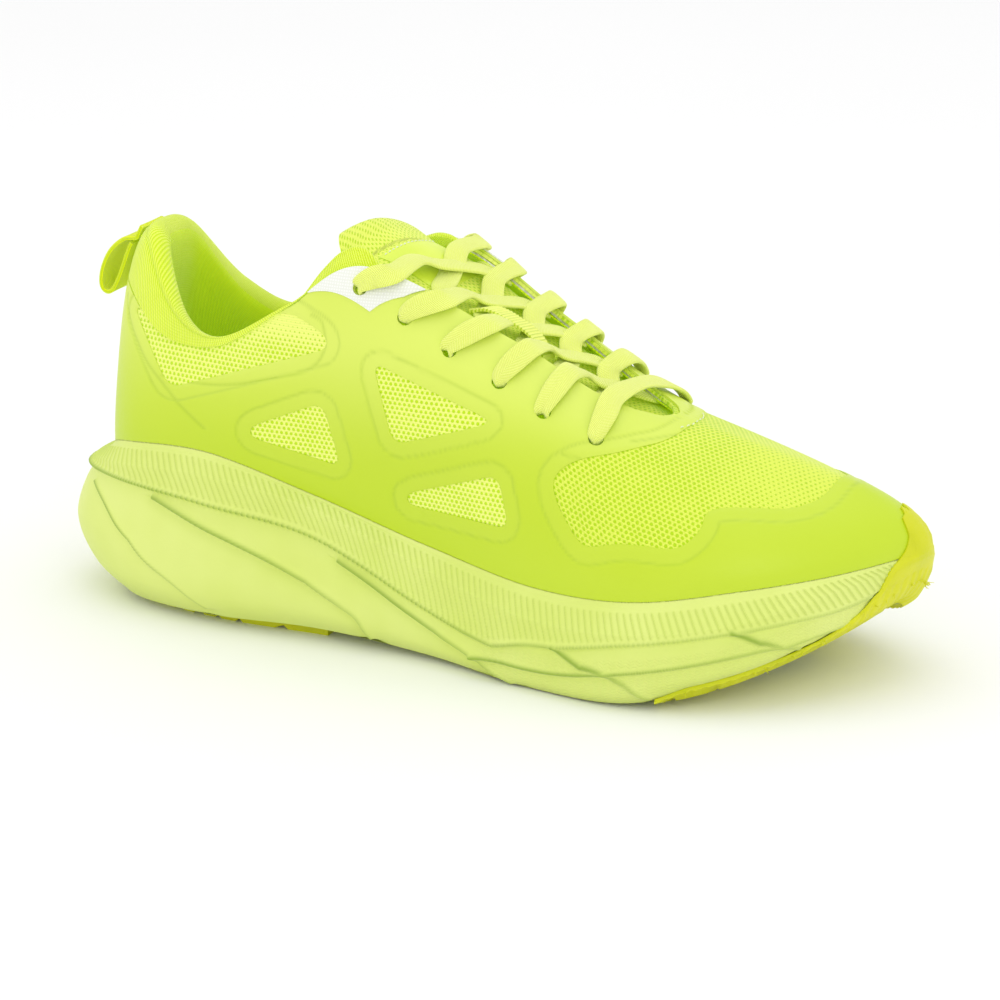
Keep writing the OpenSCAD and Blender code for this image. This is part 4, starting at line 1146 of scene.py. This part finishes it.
def vamp_width():
    """Table of the distance across the vamp from the centre line, by x and y."""
    gt, gs = np.meshgrid(np.linspace(5.5, 14.5, 400), np.linspace(0.1, 1, 120), indexing="ij")
    p = upper(gt, gs).reshape(-1, 3)
    tree = KDTree(len(p))
    for i, q in enumerate(p.tolist()):
        tree.insert((q[0], q[1], 0), i)
    tree.balance()
    xs, ys = np.linspace(20, 150, 66), np.linspace(-60, 60, 121)
    z = np.array([[p[tree.find((x, y, 0))[1]][2] for y in ys.tolist()] for x in xs.tolist()])
    step = np.hypot(np.diff(z, axis=1), ys[1] - ys[0])
    reach = np.concatenate([np.zeros((len(xs), 1)), np.cumsum(step, 1)], 1)
    return xs, ys, reach - reach[:, [60]]


def vamp_pattern(t, s, p):
    """Weave coordinates of the vamp: length along the shoe and distance round it."""
    xs, ys, reach = vamp_width()
    i = np.clip((p[:, 0] - xs[0]) / (xs[1] - xs[0]), 0, len(xs) - 1.001)
    j = np.clip((p[:, 1] - ys[0]) / (ys[1] - ys[0]), 0, len(ys) - 1.001)
    i0, j0 = i.astype(int), j.astype(int)
    fi, fj = i - i0, j - j0
    across = (reach[i0, j0] * (1 - fi) * (1 - fj) + reach[i0 + 1, j0] * fi * (1 - fj)
              + reach[i0, j0 + 1] * (1 - fi) * fj + reach[i0 + 1, j0 + 1] * fi * fj)
    closed = 0.4 * smooth((p[:, 0] - 72) / 34) * smooth((across + 42) / 26)
    # The holes close up towards the toe, and the same area gets a little painted shade
    mark = np.stack([closed, closed * 0.25, closed * 0], -1)
    return 0, np.stack([p[:, 0], across, p[:, 2] * 0], -1), mark


def quarter_pattern(t, s, p):
    """Weave coordinates of a quarter: seen from the side. The holes close up under the collar."""
    closed = smooth((p[:, 2] - 94) / 14) * 0.8
    mark = np.stack([closed, closed * 0, closed * 0], -1)
    return 0, np.stack([p[:, 0] * 1.02, p[:, 2], p[:, 2] * 0], -1), mark


def plain_pattern(t, s, p):
    return 0, np.stack([p[:, 0], p[:, 2], p[:, 1]], -1), np.zeros((len(p), 3))


def hole_distance(holes):
    """Distance from the rim of the nearest lace hole, negative inside."""
    centers = np.array([upper(np.array(h[0]), np.array(h[1])) for h in holes])

    def keep(t, s):
        p = upper(t, s)
        return np.min(np.linalg.norm(p[..., None, :] - centers, axis=-1), -1) - EYELET_D / 2
    return keep


def make_upper():
    """Film in two halves over the mesh vamp and quarters, with the quarter linings inside."""
    make_film("film_lateral_skin", 0, 10, COLLAR_WINDOW,
              ["film_lateral", "film_heel", "film_toe", "film_throat"])
    make_film("film_medial_skin", 10, 20, COLLAR_WINDOW_MEDIAL, ["film_medial"])
    all_holes = hole_distance(HOLES_LATERAL + HOLES_MEDIAL)
    patch("vamp_mesh", np.linspace(6.0, 14.0, 300), -0.3, 1, 80, MESH_D, "vamp", "mesh", all_holes,
          vamp_pattern, nodes=["mesh_vamp"])
    for side, low, high in (("lateral", 0.02, 5.99), ("medial", 14.01, 19.98)):
        patch("quarter_mesh_" + side, np.linspace(low, high, 240), -0.3, 0.985, 70, MESH_D, "mesh", "mesh",
              all_holes, quarter_pattern, nodes=["mesh_quarter_" + side])
    for side, low, high, holes in (("lateral", 4.45, 8.3, HOLES_LATERAL),
                                   ("medial", 11.7, 15.55, HOLES_MEDIAL)):
        patch("quarter_lining_" + side, np.linspace(low, high, 90), 0.02, 0.985, 40, LINING_D, "lining",
              "lining", hole_distance(holes), plain_pattern, nodes=["lining_quarter_" + side])


def make_collar():
    """Knitted collar: an outer sleeve over the roll, and the ribbed lining inside the heel."""
    t_values = np.linspace(-4.4, 4.4, 420)
    sleeve = np.concatenate([np.linspace(0, 1, 26), np.linspace(1.05, 1.75, 16)])
    parts = [("collar_knit_cover", "knit", sleeve),
             ("heel_lining_cover", "lining", np.linspace(1.7, 3, 70))]
    for name, material, w_values in parts:
        t, w = np.meshgrid(t_values, w_values, indexing="ij")
        seam = np.exp(-((w - 0.82) / 0.05) ** 2) * smooth((3.4 - np.abs(t)) / 0.6)
        outer, inner = collar(t, w, 0.35 * seam), collar(t, w, FILM_T)
        reach = np.cumsum(np.linalg.norm(np.diff(outer, axis=1, prepend=outer[:, :1]), axis=2), 1)
        pat = np.stack([round_length(t) * 0.9, reach, t * 0], -1).reshape(-1, 3)
        # Painted shade: the lining darkens deeper inside the heel, and the knit cover darkens along its seam
        # groove
        deep = smooth((w - 1.9) / 0.9)
        mark = np.stack([deep * 0.3 if material == "lining" else seam * 0.25, t * 0, t * 0], -1)
        shell(name, outer, inner, face_list(*t.shape), material, "lining", nodes=["collar_cover"], pat=pat,
              mark=mark.reshape(-1, 3))


def make_eyelet_panels():
    """Pale panels round the top lace holes."""
    for side, stations, floor, holes in (
            ("lateral", [4.29, 4.99, 5.28, 5.42], [0.985, 0.8, 0.905, 0.985], HOLES_LATERAL),
            ("medial", [14.58, 14.72, 15.01, 15.71], [0.985, 0.905, 0.8, 0.985], HOLES_MEDIAL)):
        rim = hole_distance(holes[:1])

        def keep(t, s, rim=rim, stations=stations, floor=floor):
            """A kite: straight along the top line, with its lowest corner below the lace hole."""
            return np.minimum(rim(t, s), (s - np.interp(t, stations, floor)) * 60)
        patch("eyelet_panel_skin_" + side, np.linspace(stations[0], stations[-1], 90), 0.78, 0.99, 60,
              [-0.45, 0], "panel", "panel", keep, plain_pattern, nodes=["eyelet_panel_" + side])


# Height of the soft padded edge above the top line beside the tongue, by lateral station
EDGE_RISE = [[3.95, 0], [4.15, 2.6], [4.35, 5.8], [4.6, 8], [4.8, 8.2], [4.95, 6.6], [5.05, 3.4], [5.12, 0]]
EDGE_LEAN = 3.5
EDGE_T = 2.4
FACE_ROWS, CAP_ROWS = 16, 14


def make_padded_edges():
    """Soft knitted edges of the quarters that stand up beside the tongue, above the eyelet panels."""
    flat, turn = np.zeros(FACE_ROWS), np.linspace(0, math.pi, CAP_ROWS)
    climb = np.linspace(0, 1, FACE_ROWS)
    up = np.concatenate([climb, np.full(CAP_ROWS, 1.0), np.linspace(1, 0, FACE_ROWS)])
    cap = np.concatenate([flat, np.sin(turn), flat])
    depth = np.concatenate([flat, (1 - np.cos(turn)) / 2, flat + 1])
    for side, share, inside in (("lateral", 1, 1), ("medial", 0.6, -1)):
        station = np.linspace(3.96, 5.11, 130)
        t = station if side == "lateral" else 20 - station
        rise = np.interp(station, *np.array(EDGE_RISE).T) * share
        rise = np.convolve(np.pad(rise, 6, mode="edge"), np.ones(13) / 13, "valid")[:, None]
        height = (rise - 1) * up + 0.45 * EDGE_T * cap - 1.5
        lean = EDGE_LEAN * share * (up ** 1.6) * (rise / 8) + EDGE_T * depth
        p = skin(t, 0.985, 0.9)[:, None] + np.stack([height * 0, lean * inside, height], -1)
        reach = np.cumsum(np.linalg.norm(np.diff(p, axis=1, prepend=p[:, :1]), axis=2), 1)
        pat = np.stack([np.broadcast_to(round_length(t)[:, None], reach.shape), reach, reach * 0], -1)
        make_piece("padded_edge_" + side, p, grid_faces(*reach.shape), "knit", "lining",
                   nodes=["lining_quarter_" + side], pat=pat.reshape(-1, 3), crease=60)


# ---- tongue ----
def tongue_grid(us, vs, d):
    u, v = np.meshgrid(us, vs, indexing="ij")
    return tongue_at(u, v, np.full(u.shape, float(d)))


TIP_LENGTH, TIP_RISE, TIP_DROP = 12.5, 8, 5


def make_tongue():
    """Padded tongue with its free tip, one piece whose tip turns up from the hinge line."""
    vs = np.linspace(-2, 2, 90)
    us = np.linspace(TONGUE_U, 8.1, 150)

    def tip_row(share, k):
        """Row across the free tip, k from 0 at the hinge line to 1 at the tip."""
        half = 1.25 - 0.6 * k ** 1.6
        full = math.sqrt(max(1 - k ** 6, 0.05))
        span = vs / 2 * mix(half, 2.0, smooth((0.12 - k) / 0.12))
        droop = TIP_DROP * k * (span / 1.12) ** 2 * smooth((1.12 - np.abs(span)) / -0.2 + 1)
        p = tongue_at(TONGUE_U, span, np.full(len(vs), TONGUE_T * (1 + share * full) / 2))
        return p + np.stack([np.full(len(vs), -TIP_LENGTH * k), np.zeros(len(vs)), TIP_RISE * k - droop], -1)

    def face(share):
        tip = [tip_row(share, k) for k in np.linspace(1, 0, 40)[:-1]]
        return np.concatenate([np.array(tip), tongue_grid(us, vs, TONGUE_T * (0.5 + share / 2))])
    outer, inner = face(-1), face(1)
    width = np.cumsum(np.linalg.norm(np.diff(outer, axis=1, prepend=outer[:, :1]), axis=2), 1)
    pat = np.stack([outer[..., 0], width, width * 0], -1).reshape(-1, 3)
    tongue = shell("tongue_pad", outer, inner, face_list(*width.shape), "tongue", "tongue", body=None,
                   nodes=["tongue", "tongue_top"], pat=pat, crease=50)
    root = tongue_at(TONGUE_U, 0, 0) * MM
    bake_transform(tongue)


def make_tongue_details():
    """Plain welded label and the line of stitches across its end."""
    n, m = 40, 30
    us, vs = np.linspace(4.95, 5.42, n), np.linspace(-0.62, 0.62, m)
    inner = tongue_grid(us, vs, -0.05)
    far = np.minimum(np.minimum(np.arange(n), n - 1 - np.arange(n))[:, None] / 3,
                     np.minimum(np.arange(m), m - 1 - np.arange(m))[None, :] / 3)
    outer = mix(inner, tongue_grid(us, vs, -0.75), col(smooth(far * 0.7 + 0.4)))
    shell("tongue_label_patch", outer, inner, face_list(n, m), "label", "label", nodes=["tongue_label"])
    line = tongue_at(np.full(200, 4.985), np.linspace(-0.56, 0.56, 200), np.full(200, -0.8))
    centers = spaced(line, 2.0)
    stitch_row("label_stitches", centers, np.tile([0, 0, 1.0], (len(centers), 1)), 1.3, 0.24)


KEEPER_ARCH = 5.4


def make_keeper():
    """Cross-ribbed tape, stitched down at both ends, that holds the lace to the tongue."""
    us, vs = np.linspace(5.68, 6.32, 150), np.linspace(-0.69, -0.21, 40)
    lift = np.interp(np.linspace(0, 1, 150) * 6, [0, 1, 2, 4, 5, 6], [0, 0.8, 1, 1, 0.8, 0])
    lift = np.convolve(np.pad(lift, 10, mode="edge"), np.ones(21) / 21, "valid")
    flat = tongue_grid(us, vs, 0)
    reach = run_length(flat[:, 20] + np.array([0, 0, KEEPER_ARCH]) * lift[:, None])
    rib = 0.17 * np.cos(reach * 2 * math.pi / 1.25)

    def grid(h, ripple):
        p = flat.copy()
        p[..., 2] += (0.15 + KEEPER_ARCH * lift + h + ripple * rib)[:, None]
        return p
    pat = np.stack(np.broadcast_arrays(reach[:, None], (vs * 24)[None, :], 0.0), -1).reshape(-1, 3)
    shell("keeper_webbing", grid(1.1, 1), grid(0.1, 0), face_list(150, 40), "keeper", "webbing",
          nodes=["lace_keeper"], pat=pat)


# ---- lace ----
LOW = 1.9
HIGH = LOW + LACE_T + 0.5
LEAN = 0.28
CROSSING = np.array([0.2, 0.4, 0.6, 0.78])
DIVE_W = [LACE_W, LACE_W, 0.75 * LACE_W, NARROW_W, NARROW_W, 0.75 * LACE_W]


def one(fn, *values):
    return fn(*[np.array(float(v)) for v in values])


def ahead(t):
    """Station where the lace crosses the edge of the throat, a little in front of its hole."""
    return t + LEAN if t < 10 else t - LEAN


def dive(h):
    """Over the edge of the throat, down into a hole and up again behind it."""
    t, s = h
    return [one(skin, ahead(t), 0.985, -2.2), one(skin, mix(t, ahead(t), 0.45), mix(s, 0.985, 0.45), -2.2),
            one(skin, t, s + 0.01, -0.9), one(skin, t, s, 1.6), one(skin, t, s + 0.01, LACE_D - 0.4),
            one(skin, t, s + 0.03, LACE_D)]


def dive_up(h):
    t, s = h
    n = one(outward, t, s)
    d = unit(one(upper, t, s) - one(upper, ahead(t), 0.985))
    return [one(outward, ahead(t), 0.98), n, unit(n + d), d, unit(d - n), -n]


def strand(start, end, side, mid):
    """From under one edge of the throat, across the tongue, and over the other edge into the next hole."""
    uf, ut = (20 - ahead(start[0]), ahead(end[0])) if side > 0 else (ahead(start[0]), 20 - ahead(end[0]))
    climb = 0.62 if mid > LOW else 0.5
    under = one(skin, start[0], start[1] + 0.12, LACE_D)
    points = [under, one(skin, ahead(start[0]), 1, LACE_D) + [0, 0, 0.7]]
    for k in CROSSING:
        v, u = side * (1 - 2 * k) * 1.02, mix(uf, ut, k)
        h = mix(LOW, mid, smooth(k / 0.4)) + 3.6 * smooth((k - climb) / 0.42)
        points.append(one(tongue_at, u, v, 0) + [0, 0, float(h)])
    faces = [one(outward, start[0], 0.92), one(outward, ahead(start[0]), 0.98)]
    faces += [unit(np.array([0.3, -side * (0.5 - k) * 0.4, 1])) for k in CROSSING]
    return points + dive(end), faces + dive_up(end), [0.75 * LACE_W] + [LACE_W] * 5 + DIVE_W


def lace_route():
    """The whole lace: from the lateral top hole down to the bar and up to the medial top hole."""
    holes = {1: HOLES_MEDIAL, -1: HOLES_LATERAL}
    count = len(HOLES_LATERAL) - 1

    def stretch(k, side):
        return strand(holes[side][k + 1], holes[-side][k], side, HIGH if side > 0 else LOW)
    points, faces, widths = [], [], []

    def add(parts, turn, backwards):
        p, f, w = parts
        step = -1 if backwards else 1
        points.extend(p[::step])
        faces.extend([n * turn for n in f[::step]])
        widths.extend(w[::step])
    for k in range(count):
        add(stretch(k, 1 if k % 2 == 0 else -1), 1 if k % 2 == 0 else -1, True)
    turn = 1 if count % 2 == 0 else -1
    a, b = dive(HOLES_MEDIAL[count]), dive(HOLES_LATERAL[count])
    bar = mix(a[0], b[0], 0.5) + [0, 0, 1.5]
    add((a[::-1] + [bar] + b, dive_up(HOLES_MEDIAL[count])[::-1] + [unit(np.array([0.2, 0, 1]))]
         + dive_up(HOLES_LATERAL[count]), DIVE_W[::-1] + [LACE_W] + DIVE_W), turn, False)
    for k in range(count):
        turn = 1 if (count + 1 + k) % 2 == 0 else -1
        add(stretch(count - 1 - k, -1 if k % 2 == 0 else 1), turn, False)
    return np.array(points), np.array(faces), np.array(widths)


RIBBON_STEPS = 9


def ribbon(name, points, normals, widths, nodes):
    """Flat woven lace swept along its route. It bunches into folds where a hole squeezes it."""
    knots = np.linspace(0, len(points) - 1, (len(points) - 1) * RIBBON_STEPS + 1)
    p, n = along(points, knots), unit(along(normals, knots))
    w = along(np.asarray(widths, float)[:, None], knots)[:, 0]
    d = unit(np.gradient(p, axis=0))
    side = unit(np.cross(d, n))
    up = np.cross(side, d)
    reach = run_length(p)
    turns = np.linspace(0, 2 * math.pi, 28, endpoint=False)
    across = np.sign(np.cos(turns)) * np.abs(np.cos(turns)) ** 0.55 * 0.5
    high = np.sign(np.sin(turns)) * np.abs(np.sin(turns)) ** 0.7 * 0.5
    squeeze = smooth((0.97 - w / LACE_W) / 0.4)
    fold = -0.75 * squeeze[:, None] * np.cos(across[None, :] * 2 * math.pi)
    crown = 0.16 * (1 - (2 * across) ** 2)[None, :] * (1 - squeeze[:, None])
    rise = high[None, :] * LACE_T * (1 + 0.35 * squeeze[:, None]) + fold + crown
    spread = (across[None, :] * w[:, None])[..., None]
    ring = p[:, None] + side[:, None] * spread + up[:, None] * rise[..., None]
    n, m = ring.shape[:2]
    faces = face_list(n, m)
    faces += [(i * m + m - 1, i * m, (i + 1) * m, (i + 1) * m + m - 1) for i in range(n - 1)]
    faces += [tuple(range(m))[::-1], tuple((n - 1) * m + k for k in range(m))]
    pat = np.stack(np.broadcast_arrays(across * LACE_W, reach[:, None], 0.0), -1).reshape(-1, 3)
    turned = [f[::-1] for f in faces]
    piece = make_piece(name, ring.reshape(-1, 3), turned, "lace", "lace", nodes=nodes, pat=pat)
    return piece, p


def make_tails():
    """The two lace ends, tucked down inside the quarters, each ending in its aglet."""
    for name, route, side in (("lateral", TAIL_LATERAL, -1), ("medial", TAIL_MEDIAL, 1)):
        count = len(route)
        piece, line = ribbon("lace_end_" + name, np.array(route, float), np.tile([0, side, 0.2], (count, 1)),
                             [LACE_W] * count, ["lace_tail_" + name])


# ---- heel pull loop ----
def make_pull_loop():
    """Folded tape stitched to the heel: the loop hangs from its seam."""
    n, m = 160, 46
    path = np.array(LOOP_SEAM + LOOP_PATH, float)
    line = along(path, np.linspace(0, len(path) - 1, n))
    d = unit(np.gradient(line, axis=0))
    normal = np.stack([-d[:, 1], d[:, 0]], -1)
    across = np.linspace(-1, 1, m)
    bow = 0.35 * (1 - across ** 2)

    def face(h):
        q = line[:, None] + normal[:, None] * (h + bow * 0.4)[None, :, None]
        y = np.broadcast_to(across * LOOP_W / 2, q.shape[:2])
        return np.stack([q[..., 0], y, q[..., 1]], -1)
    round_edge = np.minimum((1 - np.abs(across)) / 0.08, 1) ** 0.5
    outer, inner = face(LOOP_T / 2 * round_edge), face(-LOOP_T / 2 * round_edge)
    reach = run_length(line)[:, None]
    pat = np.stack(np.broadcast_arrays(across * LOOP_W / 2, reach, 0.0), -1).reshape(-1, 3)
    loop = shell("pull_loop_tape", outer, inner, face_list(n, m, True), "loop", "webbing", body=None,
                 nodes=["pull_loop", "pull_loop_anchor"], pat=pat, crease=60)
    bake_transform(loop)


# ---- stitches on the upper ----
def make_stitches():
    """Row of stitches in front of the throat."""
    t = np.linspace(8.35, 11.65, 400)
    s = 0.925 - 0.03 * np.abs(t - 10) ** 1.5 / 2
    line = spaced(skin(t, s, 0.0), 2.1)
    stitch_row("throat_stitches", line, np.tile([0.25, 0, 1.0], (len(line), 1)), 1.25, 0.24)


def paint_hidden_nodes():
    """CAD pieces whose shape is right keep their mesh and get a finished material."""
    looks = {"strobel_board": "board", "heel_counter": "counter", "toe_puff": "counter",
             "eyestay_stiffener_lateral": "board", "eyestay_stiffener_medial": "board",
             "collar_foam": "padding", "aglet_lateral": "label", "aglet_medial": "label"}
    for node, material in looks.items():
        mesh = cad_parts[node].data
        mesh.materials.clear()
        mesh.materials.append(MATERIALS[material])


# ---- camera, floor and light ----
CAMERA_AZIMUTH, CAMERA_ELEVATION, CAMERA_ROLL = 26.687, 18.162, -0.35
CAMERA_DISTANCE = 1.5106


def make_camera():
    """Three-quarter view from the lateral front, a little above the shoe."""
    azimuth, elevation = math.radians(CAMERA_AZIMUTH), math.radians(CAMERA_ELEVATION)
    back = Vector((math.sin(azimuth) * math.cos(elevation), -math.cos(azimuth) * math.cos(elevation),
                   math.sin(elevation)))
    data = bpy.data.cameras.new("camera")
    data.lens, data.sensor_width = 167.1, 36
    data.clip_end = 20
    camera = bpy.data.objects.new("camera", data)
    bpy.context.scene.collection.objects.link(camera)
    target = Vector((0.0012, 0, 0.04325))
    roll_turn = Matrix.Rotation(math.radians(CAMERA_ROLL), 4, "Z")
    turn = (-back).to_track_quat("-Z", "Y").to_matrix().to_4x4() @ roll_turn
    camera.matrix_world = Matrix.Translation(target + back * CAMERA_DISTANCE) @ turn
    bpy.context.scene.camera = camera


SHOE_MIDDLE = Vector((0, 0, 0.05))
FLOOR_HALF = 6


def soft_light(name, place, size, power):
    """Square area lamp aimed at the middle of the shoe."""
    data = bpy.data.lights.new(name, "AREA")
    data.shape, data.size, data.energy = "SQUARE", size, power
    lamp = bpy.data.objects.new(name, data)
    lamp.location = place
    lamp.rotation_euler = (SHOE_MIDDLE - Vector(place)).to_track_quat("-Z", "Y").to_euler()
    bpy.context.scene.collection.objects.link(lamp)


def make_stage():
    """Seamless white floor, white surroundings and three soft lights."""
    scene = bpy.context.scene
    mesh = bpy.data.meshes.new("floor")
    corners = [(x * FLOOR_HALF, y * FLOOR_HALF, 0) for x, y in ((-1, -1), (1, -1), (1, 1), (-1, 1))]
    mesh.from_pydata(corners, [], [(0, 1, 2, 3)])
    floor = bpy.data.objects.new("floor", mesh)
    g = Graph("floor_paper", 0.9, {"Specular IOR Level": 0.1})
    paper = g.blend(g.noise(3, 1), (0.93, 0.93, 0.93, 1), (0.95, 0.95, 0.95, 1))
    mesh.materials.append(g.finish(paper))
    scene.collection.objects.link(floor)
    world = bpy.data.worlds.new("studio")
    world.use_nodes = True
    sky = world.node_tree.nodes["Background"]
    sky.inputs["Color"].default_value = (1, 1, 1, 1)
    sky.inputs["Strength"].default_value = 0.95
    scene.world = world
    scene.view_settings.view_transform = "Standard"
    soft_light("overhead", (0.1, 0.1, 1.3), 1.1, 2.6)
    soft_light("front", (0.9, -1.1, 0.9), 0.9, 2.4)
    soft_light("heel", (-1.2, -0.5, 0.7), 0.8, 1.0)


make_camera()
make_tails()
make_midsole()
make_outsole()
make_insole()
make_upper()
make_collar()
make_eyelet_panels()
make_padded_edges()
make_tongue()
make_tongue_details()
make_keeper()
lace_points, lace_faces, lace_widths = lace_route()
ribbon("lace_band", lace_points, lace_faces, lace_widths, ["lace"])
make_pull_loop()
make_stitches()
paint_hidden_nodes()
make_stage()
